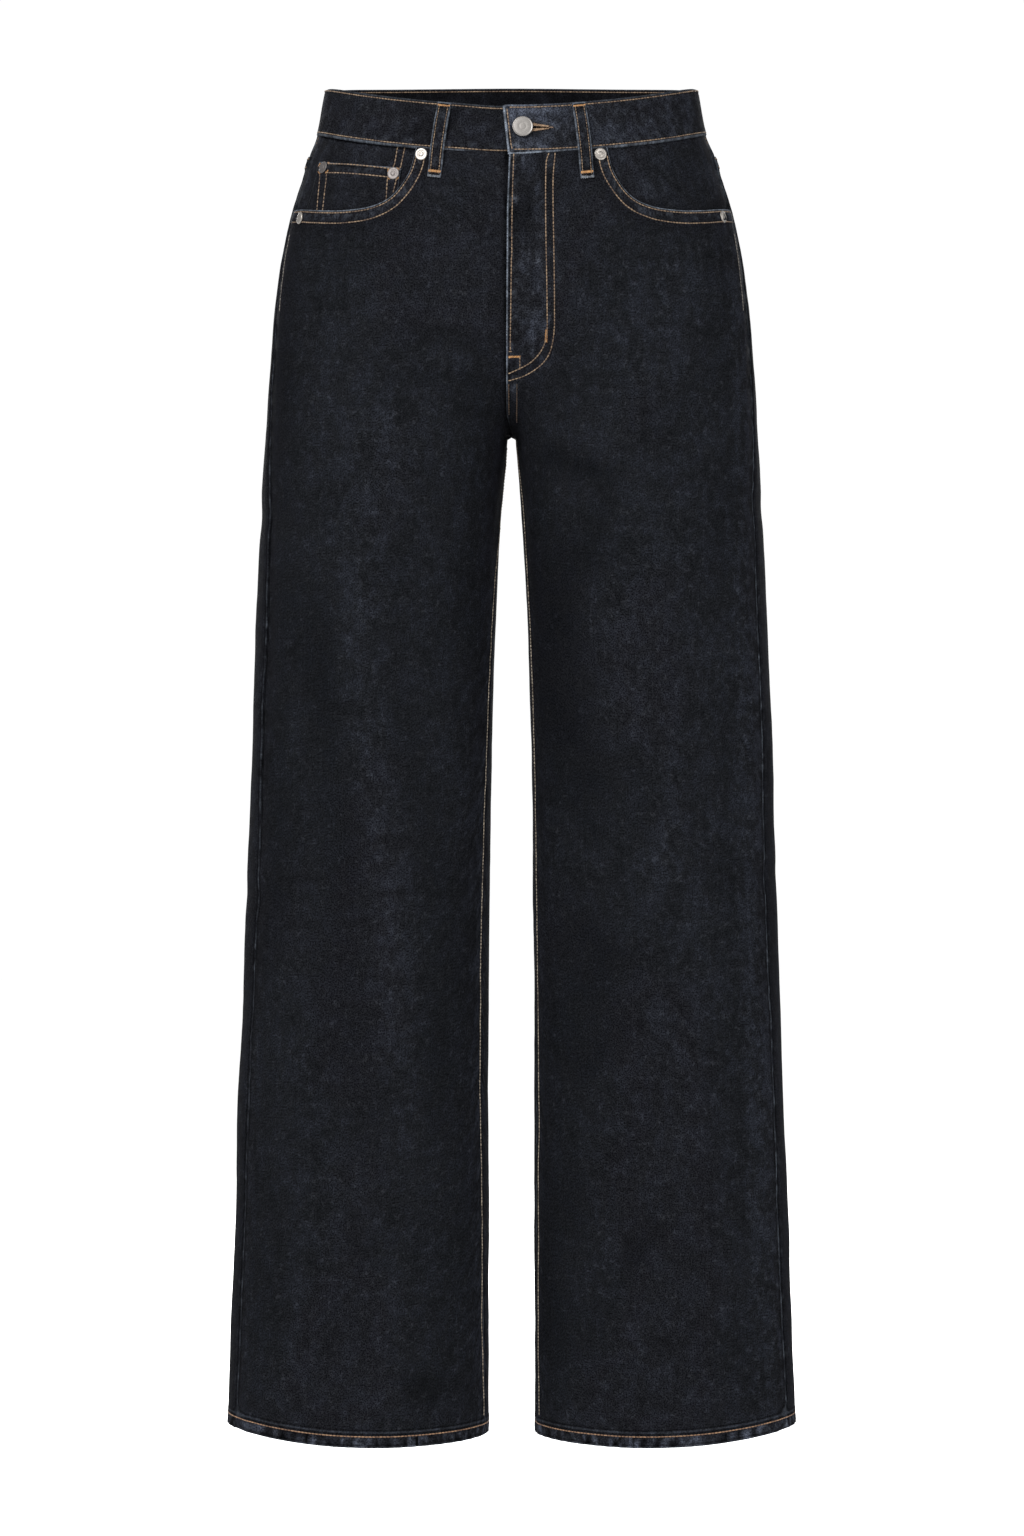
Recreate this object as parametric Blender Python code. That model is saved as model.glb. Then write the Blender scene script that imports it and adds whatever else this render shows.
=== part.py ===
"""Straight leg jeans, filled out as they are worn, open at the waist and at both hems.

Frame: metres, +Z up. The front faces -Y and the wearer's left is +X. The origin is the centre of the
waist, level with the top of the waistband at the sides. Every panel is cut from one form, worked out
from the PROFILE table: u runs round one half of it, from -1 at the centre front through 0 at the side
to 1 at the centre back, and z runs down it. Below the crotch u = -1 and u = 1 meet inside the leg.
"""

import math

import bmesh
import bpy
from mathutils import Matrix, Vector

MM = 0.001

# Cloth, in metres
CLOTH = 1.2 * MM             # one layer of denim
HEM_CLOTH = 2.6 * MM         # the folded hem
BAND_CLOTH = 3.0 * MM        # the waistband, with its two layers and its turnings
SEAM = 0.3 * MM              # between two pieces at a seam
UNDERLAY_GAP = 0.6 * MM      # between a panel and what lies behind it
PATCH_GAP = 0.8 * MM         # between a panel and the patch pocket on it
LAP_GAP = 0.8 * MM           # between the two ends of the waistband where they lap

# The form
CROTCH_Z = -272.4 * MM
RISE_START = {"front": -158 * MM, "back": -168 * MM}   # where the rise begins to turn under
SIDE_START = -100 * MM       # where the side of the hip begins to turn into the leg
LEG_SPREAD = 240 * MM        # away from the crotch the leg takes this much longer to form
CROTCH_SHARPNESS = 6.0       # how fast the turn softens away from the crotch
ARCH = 4 * MM                # depth of the small arch that closes the gap between the legs
ARCH_FROM = 0.88             # the arch shapes the form from this u to the seam
HIP_POWER = 2.25
LEG_POWER = 2.15
PROFILE_COLUMNS = ("z", "side", "front", "back", "gap", "outseam", "inseam_right", "inseam_left")
PROFILE = (  # half width, depth before and behind, half gap between the legs, seams in from the outline
    (30, 144.0, 92.0, 94.0, 3.1, 0.8, 0.0, 0.0),
    (0, 145.3, 93.0, 97.0, 3.1, 0.8, 0.0, 0.0),
    (-38, 152.3, 96.0, 104.0, 3.1, 1.0, 0.0, 0.0),
    (-54, 158.6, 98.0, 108.0, 3.1, 1.2, 0.0, 0.0),
    (-70, 163.6, 99.5, 111.0, 3.1, 1.5, 0.0, 0.0),
    (-101, 173.4, 101.5, 116.0, 3.1, 2.0, 0.0, 0.0),
    (-132, 180.2, 102.0, 119.0, 3.1, 2.6, 0.0, 0.0),
    (-164, 184.8, 101.5, 119.5, 3.1, 3.2, 0.0, 0.0),
    (-200, 188.5, 100.0, 117.5, 3.1, 3.8, 0.0, 0.0),
    (-272.4, 193.1, 95.0, 105.0, 3.1, 5.5, 0.0, 0.0),
    (-321, 196.0, 92.0, 97.0, 7.2, 8.0, 0.1, 0.6),
    (-400, 199.4, 86.0, 87.0, 11.4, 9.5, 2.1, 1.2),
    (-478, 202.5, 80.0, 79.0, 14.1, 10.2, 3.8, 1.5),
    (-560, 205.5, 75.0, 74.0, 16.0, 10.8, 5.6, 1.8),
    (-713, 210.9, 70.0, 70.0, 17.7, 10.8, 7.1, 2.0),
    (-871, 216.5, 67.0, 67.0, 17.7, 10.0, 5.9, 1.9),
    (-1060, 223.3, 65.0, 65.0, 18.3, 8.3, 3.2, 2.0),
)

# Waistband
BAND_HEIGHT = 35.7 * MM
BAND_LIFT = 0.9 * MM                     # its outer face stands this far out of the form
FRONT_DIP = 29 * MM                      # the top edge falls to the centre front
BACK_RISE = 19 * MM                      # and rises to the centre back
BAND_END_X = (-6 * MM, -2 * MM)          # the lapped end, at the top edge and at the bottom edge
BAND_UNDER_X = 34 * MM                   # the hidden end reaches this far under the lap
BAND_STEP_X = (-46 * MM, -8.5 * MM)      # the hidden end dips in between these
BAND_STATIONS = 44

# Fly
FLY_LAP = 3 * MM                         # the left front passes the centre by this much
FLY_LAP_END = (-256 * MM, -270 * MM)     # and comes back to the centre between these
UNDERLAP_X = (-11 * MM, 33 * MM)
UNDERLAP_LEVELS = 2                      # it ends this many levels into the turn of the rise

# Front pocket mouth, from the outseam in to the waistband, as x and z on the left front
POCKET_EDGE = (  # x, z in mm
    (166.0, -98.8),
    (158.0, -100.9),
    (147.0, -103.4),
    (131.5, -105.3),
    (114.5, -105.0),
    (103.0, -102.8),
    (94.0, -98.9),
    (87.3, -93.2),
    (81.8, -86.0),
    (76.4, -76.0),
)
POCKET_SIDE_Z = -97.6 * MM
POCKET_CORNER_X = 72.4 * MM
FACING_BELOW = 24 * MM                   # the facing reaches this far below the mouth
FACING_STEP = 0.11                       # the right facing drops in over this share of the panel
COIN_X = (152 * MM, 84 * MM)             # the coin pocket's sides
COIN_TOP_Z = (-62.2 * MM, -75 * MM)      # its top edge, at those sides
COIN_BOTTOM_Z = -124 * MM

# Yoke and back pocket
BACK_COLUMNS = 14                        # strips across a back panel and its yoke
YOKE_SIDE_Z = -56 * MM
YOKE_CENTRE_Z = -92 * MM
BACK_POCKET_X = 90 * MM                  # its middle
BACK_POCKET_HALF = (66 * MM, 58 * MM)    # half its width at the top and at the lower corners
BACK_POCKET_TOP = (-102 * MM, -108 * MM)  # its top edge at the outer and at the inner corner
BACK_POCKET_CORNER_Z = -222 * MM
BACK_POCKET_TIP = 18 * MM                # the point hangs this far below its corners
BACK_POCKET_CLOTH = 1.6 * MM

# Hem
HEM_HEIGHT = 12 * MM
HEM_Z = {"front": -1051.5 * MM, "outer": -1044 * MM, "inner": -1049 * MM, "back": -1049 * MM}

# Belt loops
LOOP_WIDTH = 9.6 * MM
LOOP_CLOTH = 1.8 * MM
LOOP_RISE = (  # share of the way down the loop, and how far it stands out of the form in mm
    (0.0, 1.3),
    (0.10, 1.5),
    (0.25, 3.0),
    (0.45, 3.6),
    (0.62, 3.4),
    (0.76, 2.2),
    (0.86, 0.7),
    (1.0, 0.45),
)
LOOPS = (  # name, side, face, x at the top, x at the bottom, length
    ("belt_loop_front_left", 1, "front", 50.7 * MM, 57.3 * MM, 57.5 * MM),
    ("belt_loop_front_right", -1, "front", 50.7 * MM, 58.6 * MM, 57.0 * MM),
    ("belt_loop_side_left", 1, "back", 96 * MM, 99 * MM, 57.0 * MM),
    ("belt_loop_side_right", -1, "back", 96 * MM, 99 * MM, 57.0 * MM),
    ("belt_loop_back", 1, "back", 0.0, 0.0, 57.0 * MM),
)

# Hardware: radius and height of each turned profile, from the cloth outwards
BUTTON_X = 8.3 * MM
BUTTON_Z = -46 * MM
BUTTON_HEAD_LIFT = BAND_LIFT + SEAM
BUTTON_SHANK_RADIUS = 2.1 * MM
BUTTON_RADIUS = 7.85 * MM
BUTTON_HEIGHT = 3.4 * MM
BUTTONHOLE_X = (6 * MM, 26 * MM)
BUTTONHOLE_SLIT = 0.8 * MM               # half its width
BUTTONHOLE_EYE = 2.6 * MM                # radius of the round end that takes the shank
RIVET_RADIUS = 4.8 * MM
RIVET_SEAT = 0.35 * MM
TURNING_STEPS = 20
RIVETS = (  # name, side, x, z, how far its seat stands out of the form
    ("rivet_pocket_top_left", 1, 67.3 * MM, -65.6 * MM, 0.0),
    ("rivet_pocket_top_right", -1, 68.4 * MM, -65.6 * MM, 0.0),
    ("rivet_pocket_side_left", 1, 162.8 * MM, -105.5 * MM, 0.0),
    ("rivet_pocket_side_right", -1, 163.0 * MM, -106.6 * MM, 0.0),
    ("rivet_coin_outer", -1, 146.3 * MM, -68.0 * MM, -(CLOTH + UNDERLAY_GAP)),
    ("rivet_coin_inner", -1, 90.4 * MM, -79.0 * MM, -(CLOTH + UNDERLAY_GAP)),
)

MATERIALS = {  # base colour, metallic, roughness
    "denim": ((0.016, 0.018, 0.024), 0.0, 0.85),
    "brushed_steel": ((0.62, 0.60, 0.57), 1.0, 0.38),
    "rivet_steel": ((0.55, 0.53, 0.50), 1.0, 0.42),
}


# ---------------------------------------------------------------- small sums

def mix(first, second, share):
    return first + (second - first) * share


def smooth_step(start, end, value):
    share = min(1.0, max(0.0, (value - start) / (end - start)))
    return share * share * (3 - 2 * share)


def profile(name, z):
    """One column of PROFILE at height z, along a smooth curve through its rows."""
    column = PROFILE_COLUMNS.index(name)
    height = z / MM
    last = len(PROFILE) - 2
    row = 0
    while row < last and height < PROFILE[row + 1][0]:
        row += 1
    near = [PROFILE[min(len(PROFILE) - 1, max(0, row + step))] for step in (-1, 0, 1, 2)]
    heights = [entry[0] for entry in near]
    values = [entry[column] for entry in near]
    span = heights[2] - heights[1]
    share = (height - heights[1]) / span
    slope_in = (values[2] - values[0]) / (heights[2] - heights[0]) * span
    slope_out = (values[3] - values[1]) / (heights[3] - heights[1]) * span
    square, cube = share ** 2, share ** 3
    return MM * ((2 * cube - 3 * square + 1) * values[1] + (cube - 2 * square + share) * slope_in
                 + (3 * square - 2 * cube) * values[2] + (cube - square) * slope_out)


def oval(angle, power):
    """A point of the unit oval: round at power 2, squarer above it."""
    across, along = math.cos(angle), math.sin(angle)
    reach = (abs(across) ** power + abs(along) ** power) ** (-1 / power)
    return across * reach, along * reach


# ---------------------------------------------------------------- the form

def half_gap(z):
    """Half the space between the legs along their inseams, closed at the crotch by a small arch."""
    if z >= CROTCH_Z:
        return SEAM / 2
    share = min(1.0, (CROTCH_Z - z) / ARCH)
    return SEAM / 2 + (profile("gap", z) - SEAM / 2) * math.sqrt(1 - (1 - share) ** 2)


def leg_share(u, z):
    """How far the section at u has turned from the hips (0) into a leg (1)."""
    near_seam = min(1.0, abs(u))
    start = mix(SIDE_START, RISE_START["back" if u > 0 else "front"], near_seam)
    end = CROTCH_Z - LEG_SPREAD * (1 - near_seam)
    turned = min(1.0, max(0.0, (start - z) / (start - end)))
    softness = min(2.0, 0.5 + CROTCH_SHARPNESS * (1 - near_seam))
    return 1 - (1 - turned ** 2) ** softness


def form(u, z):
    """The outer face of the cloth on the left half, before any lift. Past the centre front it mirrors."""
    if u < -1 and z > CROTCH_Z:
        spot = form(-2 - u, z)
        return Vector((-spot.x, spot.y, spot.z))
    wide, front, back = profile("side", z), profile("front", z), profile("back", z)
    across, along = oval(u * math.pi / 2, HIP_POWER)
    hip = Vector((SEAM / 2 + (wide - SEAM / 2) * across, along * (back if along > 0 else front), z))
    across, along = oval(u * math.pi, LEG_POWER)
    gap = profile("gap", z)
    leg = Vector(((wide + gap) / 2 + (wide - gap) / 2 * across, along * (back if along > 0 else front), z))
    share = leg_share(u, z)
    spot = hip.lerp(leg, share)
    spot.x -= share * (gap - half_gap(z)) * smooth_step(ARCH_FROM, 1.0, abs(u))
    return spot


def outward(u, z):
    """The form's outward direction."""
    du, dz = 0.004, 0.8 * MM
    around = form(u + du, z) - form(u - du, z)
    down = form(u, z - dz) - form(u, z + dz)
    return down.cross(around).normalized()


def place(side, u, z, lift=0.0):
    """A point of the form, lifted outwards; side is 1 on the left and -1 on the right."""
    spot = form(u, z) + outward(u, z) * lift
    return Vector((side * spot.x, spot.y, spot.z))


def u_where_x(x, z, centre_u, side_u):
    """u between the centre and the side of one face where the form is x wide."""
    low, high = centre_u, side_u
    for _ in range(40):
        middle = (low + high) / 2
        if form(middle, z).x < x:
            low = middle
        else:
            high = middle
    return (low + high) / 2


def front_u(x, z):
    """u on the front face where it is x wide; a negative x lies past the centre."""
    return u_where_x(x, z, -1.0 if x > SEAM / 2 else -1.3, 0.0)


def back_u(x, z):
    return u_where_x(x, z, 1.0 if x > SEAM / 2 else 1.3, 0.0)


def along_u(u, z, distance):
    """u moved round the form by a distance."""
    speed = (form(u + 0.002, z) - form(u - 0.002, z)).length / 0.004
    return u + distance / speed


# ---------------------------------------------------------------- edges of the panels

def band_top(u):
    height = math.sin(u * math.pi / 2)
    return BACK_RISE * height if height > 0 else -FRONT_DIP * abs(height) ** 1.7


def band_bottom(u):
    return band_top(u) - BAND_HEIGHT


def yoke_z(u):
    return mix(YOKE_SIDE_Z, YOKE_CENTRE_Z, max(0.0, math.sin(u * math.pi / 2)) ** 1.2)


def outseam_u(z):
    return u_where_x(profile("side", z) - profile("outseam", z), z, -0.6, 0.0)


def inseam_turn(side, z):
    """How far past the inner side, in u, the inseam lies on the front of the leg."""
    inset = profile("inseam_left" if side > 0 else "inseam_right", z)
    half = (profile("side", z) - half_gap(z)) / 2
    return math.acos(1 - max(0.0, inset) / half) / math.pi


def front_inner_u(side, z):
    """The front panel's inner edge: the fly, the centre seam and then the inseam."""
    if z > CROTCH_Z + SEAM:
        lap = FLY_LAP * smooth_step(FLY_LAP_END[1], FLY_LAP_END[0], z)
        return -1.0 if lap == 0 else front_u(SEAM / 2 - side * lap, z)
    return along_u(-1.0 + inseam_turn(side, z), z, SEAM / 2)


def back_inner_u(side, z):
    if z > CROTCH_Z + SEAM:
        return 1.0
    return along_u(1.0 + inseam_turn(side, z), z, -SEAM / 2)


def front_panel_u(side, share, z):
    """u on the front panel, with share 0 at the outseam and 1 at its inner edge."""
    return mix(along_u(outseam_u(z), z, -SEAM / 2), front_inner_u(side, z), share)


def front_share(side, x, z):
    outer, inner = front_panel_u(side, 0.0, z), front_panel_u(side, 1.0, z)
    return (front_u(x, z) - outer) / (inner - outer)


def back_panel_u(side, share, z):
    return mix(along_u(outseam_u(z), z, SEAM / 2), back_inner_u(side, z), share)


def back_share(side, x, z):
    outer, inner = back_panel_u(side, 0.0, z), back_panel_u(side, 1.0, z)
    return (back_u(x, z) - outer) / (inner - outer)


def hem_z(u):
    """The lower edge of a leg at u: lowest in front, higher at the outer side."""
    across, along = math.cos(u * math.pi), math.sin(u * math.pi)
    front_or_back = HEM_Z["back"] if along > 0 else HEM_Z["front"]
    outer_or_inner = HEM_Z["outer"] if across > 0 else HEM_Z["inner"]
    return mix(front_or_back, outer_or_inner, across ** 2)


# ---------------------------------------------------------------- making solids

def material_for(name):
    material = bpy.data.materials.get(name)
    if material is None:
        colour, metallic, roughness = MATERIALS[name]
        material = bpy.data.materials.new(name)
        material.use_nodes = True
        shader = material.node_tree.nodes["Principled BSDF"]
        shader.inputs["Base Color"].default_value = (*colour, 1.0)
        shader.inputs["Metallic"].default_value = metallic
        shader.inputs["Roughness"].default_value = roughness
    return material


def finish(name, mesh_builder, material):
    """A named object from a bmesh, with its faces pointing out."""
    bmesh.ops.recalc_face_normals(mesh_builder, faces=mesh_builder.faces)
    mesh = bpy.data.meshes.new(name)
    mesh_builder.to_mesh(mesh)
    mesh_builder.free()
    mesh.materials.append(material_for(material))
    mesh.shade_smooth()
    mesh.set_sharp_from_angle(angle=math.radians(40))
    piece = bpy.data.objects.new(name, mesh)
    bpy.context.scene.collection.objects.link(piece)
    return piece


def sheet(name, outer, inner, material="denim"):
    """One closed wall from two grids of points, its outer and its inner face."""
    rows, columns = len(outer), len(outer[0])
    builder = bmesh.new()
    faces = [[[builder.verts.new(spot) for spot in row] for row in grid] for grid in (outer, inner)]
    for face in faces:
        for row in range(rows - 1):
            for column in range(columns - 1):
                builder.faces.new((face[row][column], face[row][column + 1],
                                   face[row + 1][column + 1], face[row + 1][column]))
    rim = [(0, column) for column in range(columns)]
    rim += [(row, columns - 1) for row in range(1, rows)]
    rim += [(rows - 1, column) for column in range(columns - 2, -1, -1)]
    rim += [(row, 0) for row in range(rows - 2, 0, -1)]
    for here, following in zip(rim, rim[1:] + rim[:1]):
        builder.faces.new((faces[0][here[0]][here[1]], faces[0][following[0]][following[1]],
                           faces[1][following[0]][following[1]], faces[1][here[0]][here[1]]))
    return finish(name, builder, material)


def cloth(name, side, grid, thickness=CLOTH, lift=0.0):
    """A wall of cloth from a grid of (u, z), or of (u, z, thickness) where that changes."""
    outer, inner = [], []
    for row in grid:
        outer.append([place(side, spot[0], spot[1], lift) for spot in row])
        inner.append([place(side, spot[0], spot[1], lift - (spot[2] if len(spot) > 2 else thickness))
                      for spot in row])
    return sheet(name, outer, inner)


# ---------------------------------------------------------------- leg panels

def rise_levels():
    """Heights down the rise, closer where it turns under."""
    start = RISE_START["front"]
    return [start - (start - CROTCH_Z) * math.sin(math.radians(turn)) for turn in range(0, 91, 15)]


LEG_LEVELS = [level * MM for level in (-276.5, -290, -330, -400, -480, -570, -680, -790, -900, -1000)]
BACK_LEVELS = [level * MM for level in (-118, -148)]
FRONT_LEVELS = [level * MM for level in (-126, -152)]


def leg_panel(name, side, panel_u, heads, levels):
    """A panel with its columns at fixed shares of its width, from their heads down to the hem."""
    first = levels[0]
    heights = [[mix(head, first, step / 3) for _, head in heads] for step in range(3)]
    heights += [[level] * len(heads) for level in levels]
    grid = [[(panel_u(side, share, z), z, CLOTH) for (share, _), z in zip(heads, row)] for row in heights]
    hem = [(share, hem_z(panel_u(side, share, HEM_Z["front"]))) for share, _ in heads]
    for above, thickness in ((HEM_HEIGHT, CLOTH), (HEM_HEIGHT - SEAM, HEM_CLOTH), (0.0, HEM_CLOTH)):
        grid.append([(panel_u(side, share, z + above), z + above, thickness) for share, z in hem])
    return cloth(name, side, grid)


def pocket_heads(side):
    """Share and height of each column's head along the pocket mouth."""
    heads = [(0.0, POCKET_SIDE_Z)]
    heads += [(front_share(side, x * MM, z * MM), z * MM) for x, z in POCKET_EDGE]
    return heads


def waist_heads(side, count):
    """Column heads along the waistband, from the pocket's corner to the centre front."""
    seam_z = band_bottom(front_u(POCKET_CORNER_X, -60 * MM)) - SEAM
    corner = front_share(side, POCKET_CORNER_X, seam_z)
    heads = []
    for step in range(count + 1):
        share = mix(corner, 1.0, step / count)
        z = band_bottom(front_panel_u(side, share, seam_z)) - SEAM
        heads.append((share, z))
    return heads


def make_front(name, side):
    heads = pocket_heads(side) + waist_heads(side, 5)
    return leg_panel(name, side, front_panel_u, heads, FRONT_LEVELS + rise_levels() + LEG_LEVELS)


def make_back(name, side):
    heads = []
    for step in range(BACK_COLUMNS + 1):
        share = step / BACK_COLUMNS
        heads.append((share, yoke_z(back_panel_u(side, share, YOKE_SIDE_Z)) - SEAM / 2))
    return leg_panel(name, side, back_panel_u, heads, BACK_LEVELS + rise_levels() + LEG_LEVELS)


def make_yoke(name, side, rows=3):
    grid = []
    for row in range(rows + 1):
        line = []
        for step in range(BACK_COLUMNS + 1):
            share = step / BACK_COLUMNS
            u = back_panel_u(side, share, YOKE_SIDE_Z)
            z = mix(band_bottom(u) - SEAM, yoke_z(u) + SEAM / 2, row / rows)
            line.append((back_panel_u(side, share, z), z))
        grid.append(line)
    return cloth(name, side, grid)


# ---------------------------------------------------------------- pockets

def facing_depth(side, share):
    """One layer down, and on the right one more behind the coin pocket."""
    layers = 1.0 if side > 0 else 1.0 + smooth_step(0.0, FACING_STEP, share)
    return layers * (CLOTH + UNDERLAY_GAP)


def make_facing(name, side, rows=5):
    """The cloth behind a pocket mouth, on the same columns as the front panel."""
    heads = pocket_heads(side) + waist_heads(side, 5)[:2]
    tuck = along_u(outseam_u(POCKET_SIDE_Z), POCKET_SIDE_Z, 5 * MM)
    grid = []
    for row in range(rows + 1):
        line = []
        for number, (share, mouth) in enumerate(heads):
            top = band_bottom(front_panel_u(side, share, -50 * MM)) - SEAM
            bottom = min(mouth, -82 * MM) - FACING_BELOW
            z = mix(top, bottom, row / rows)
            if number == 0:
                line.append((tuck, z, 0.0))
            line.append((front_panel_u(side, share, z), z, share))
        grid.append(line)
    outer = [[place(side, u, z, -facing_depth(side, share)) for u, z, share in line] for line in grid]
    inner = [[place(side, u, z, -facing_depth(side, share) - CLOTH) for u, z, share in line]
             for line in grid]
    return sheet(name, outer, inner)


def make_coin_pocket(name, side=-1, rows=4):
    """The small pocket on the right facing, running down behind the front panel."""
    level = mix(COIN_TOP_Z[0], COIN_TOP_Z[1], 0.5)
    ends = [front_share(side, x, level) for x in COIN_X]
    shares = [share for share, _ in pocket_heads(side) if ends[0] < share < ends[1]]
    shares = [ends[0]] + shares + [ends[1]]
    grid = []
    for row in range(rows + 1):
        line = []
        for share in shares:
            top = mix(COIN_TOP_Z[0], COIN_TOP_Z[1], (share - ends[0]) / (ends[1] - ends[0]))
            z = mix(top, COIN_BOTTOM_Z, row / rows)
            line.append((front_panel_u(side, share, z), z))
        grid.append(line)
    return cloth(name, side, grid, lift=-(CLOTH + UNDERLAY_GAP))


def make_back_pocket(name, side, rows=6):
    """A patch with a pointed lower edge, on the same columns as the back panel."""
    ends = [back_share(side, BACK_POCKET_X + sign * BACK_POCKET_HALF[0], BACK_POCKET_TOP[0])
            for sign in (1, -1)]
    shares = [step / BACK_COLUMNS for step in range(BACK_COLUMNS + 1)]
    inside = [share for share in shares if ends[0] + 0.05 < share < ends[1] - 0.05]
    grid = []
    for row in range(rows + 1):
        level = mix(BACK_POCKET_TOP[0], BACK_POCKET_CORNER_Z, row / rows)
        half = mix(BACK_POCKET_HALF[0], BACK_POCKET_HALF[1], row / rows)
        ends = [back_share(side, BACK_POCKET_X + sign * half, level) for sign in (1, -1)]
        line = []
        for share in [ends[0]] + inside + [ends[1]]:
            across = mix(1.0, -1.0, (share - ends[0]) / (ends[1] - ends[0]))
            top = mix(BACK_POCKET_TOP[1], BACK_POCKET_TOP[0], (across + 1) / 2)
            bottom = BACK_POCKET_CORNER_Z - BACK_POCKET_TIP * (1 - abs(across))
            z = mix(top, bottom, row / rows)
            line.append((back_panel_u(side, share, z), z))
        grid.append(line)
    return cloth(name, side, grid, thickness=BACK_POCKET_CLOTH, lift=BACK_POCKET_CLOTH + PATCH_GAP)


def make_underlap(name, columns=4):
    """The strip behind the fly, on the same levels as the front panels."""
    across = [mix(UNDERLAP_X[0], UNDERLAP_X[1], step / columns) for step in range(columns + 1)]
    tops = [band_bottom(front_u(x, -65 * MM)) - SEAM for x in across]
    heights = [[mix(top, FRONT_LEVELS[0], step / 3) for top in tops] for step in range(3)]
    heights += [[level] * len(across) for level in FRONT_LEVELS + rise_levels()[:UNDERLAP_LEVELS]]
    grid = [[(front_u(x, z), z) for x, z in zip(across, row)] for row in heights]
    return cloth(name, 1, grid, lift=-(CLOTH + UNDERLAY_GAP))


# ---------------------------------------------------------------- waistband and loops

def band_stations():
    """Side and u of the stations round the band, between its lapped end and its hidden end."""
    half = BAND_STATIONS // 2
    around = [2 * step / half - 1 for step in range(1, half + 1)]
    last = front_u(-BAND_STEP_X[0], -FRONT_DIP)
    back_round = [u for u in reversed(around[:-1]) if u > last + 0.03]
    return [(1, u) for u in around] + [(-1, u) for u in back_round]


def band_spot(side, u, edge, lift):
    z = band_top(u) - BAND_HEIGHT * edge
    return [place(side, u, z, lift), place(side, u, z, lift - BAND_CLOTH)]


def make_waistband(name):
    """One strip right round, its right end passing in behind the left one."""
    lines = []
    for edge in (0.0, 0.5, 1.0):
        line = []
        near_z = -FRONT_DIP - BAND_HEIGHT * edge
        end_x = mix(BAND_END_X[0], BAND_END_X[1], edge)
        line.append(band_spot(1, front_u(end_x, near_z), edge, BAND_LIFT))
        for side, u in band_stations():
            line.append(band_spot(side, u, edge, BAND_LIFT))
        for step in range(7):
            x = mix(BAND_STEP_X[0], BAND_STEP_X[1], step / 6)
            dip = (BAND_CLOTH + LAP_GAP) * smooth_step(BAND_STEP_X[0], BAND_STEP_X[1], x)
            line.append(band_spot(-1, front_u(-x, near_z), edge, BAND_LIFT - dip))
        for step in range(1, 5):
            x = mix(BAND_STEP_X[1], BAND_UNDER_X, step / 4)
            line.append(band_spot(-1, front_u(-x, near_z), edge, BAND_LIFT - BAND_CLOTH - LAP_GAP))
        lines.append(line)
    outer = [[spot[0] for spot in line] for line in lines]
    inner = [[spot[1] for spot in line] for line in lines]
    band = sheet(name, outer, inner)
    cut_buttonhole(band)
    return band


def cut_buttonhole(band):
    """A keyhole through the outer lap only: a round eye for the shank and a slit beside it."""
    ends = [place(1, front_u(x, BUTTON_Z), BUTTON_Z, BAND_LIFT - BAND_CLOTH) for x in BUTTONHOLE_X]
    along = (ends[1] - ends[0]).normalized()
    out = along.cross(Vector((0, 0, 1))).normalized()
    eye = place(1, front_u(BUTTON_X, BUTTON_Z), BUTTON_Z, BAND_LIFT - BAND_CLOTH)
    slit_start = math.asin(BUTTONHOLE_SLIT / BUTTONHOLE_EYE)
    outline = []
    for step in range(13):
        angle = mix(slit_start, 2 * math.pi - slit_start, step / 12)
        outline.append((BUTTONHOLE_EYE * math.cos(angle), BUTTONHOLE_EYE * math.sin(angle)))
    length = (ends[1] - eye).length
    outline += [(length, -BUTTONHOLE_SLIT), (length, BUTTONHOLE_SLIT)]
    builder = bmesh.new()
    depths = (-0.4 * MM, BAND_CLOTH + 2 * MM)
    rings = [[builder.verts.new(eye + along * x + Vector((0, 0, z)) + out * depth) for x, z in outline]
             for depth in depths]
    count = len(outline)
    for step in range(count):
        after = (step + 1) % count
        builder.faces.new((rings[0][step], rings[0][after], rings[1][after], rings[1][step]))
    builder.faces.new(rings[0])
    builder.faces.new(rings[1])
    cutter = finish("buttonhole_cutter", builder, "denim")
    cutter.hide_render = True
    cutter.display_type = "WIRE"
    cut = band.modifiers.new("buttonhole", "BOOLEAN")
    cut.operation = "DIFFERENCE"
    cut.object = cutter
    return cutter


def make_loop(name, side, face, top_x, bottom_x, length):
    """A belt loop: a strip sewn down at both ends, standing a little off the band between."""
    u_at = front_u if face == "front" else back_u
    guess = -40 * MM if face == "front" else 0.0
    top_z = band_top(u_at(top_x, guess)) - 0.5 * MM
    drop = math.sqrt(length ** 2 - (bottom_x - top_x) ** 2)
    tilt = (bottom_x - top_x) / length
    outer, inner = [], []
    for along, rise in LOOP_RISE:
        middle = mix(top_x, bottom_x, along)
        z = top_z - drop * along
        for rows, depth in ((outer, LOOP_CLOTH), (inner, 0.0)):
            line = []
            for across in (-0.5, 0.0, 0.5):
                spot_z = z + across * LOOP_WIDTH * tilt
                u = u_at(middle + across * LOOP_WIDTH, spot_z)
                line.append(place(side, u, spot_z, rise * MM + depth))
            rows.append(line)
    return sheet(name, outer, inner)


# ---------------------------------------------------------------- hardware

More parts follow.
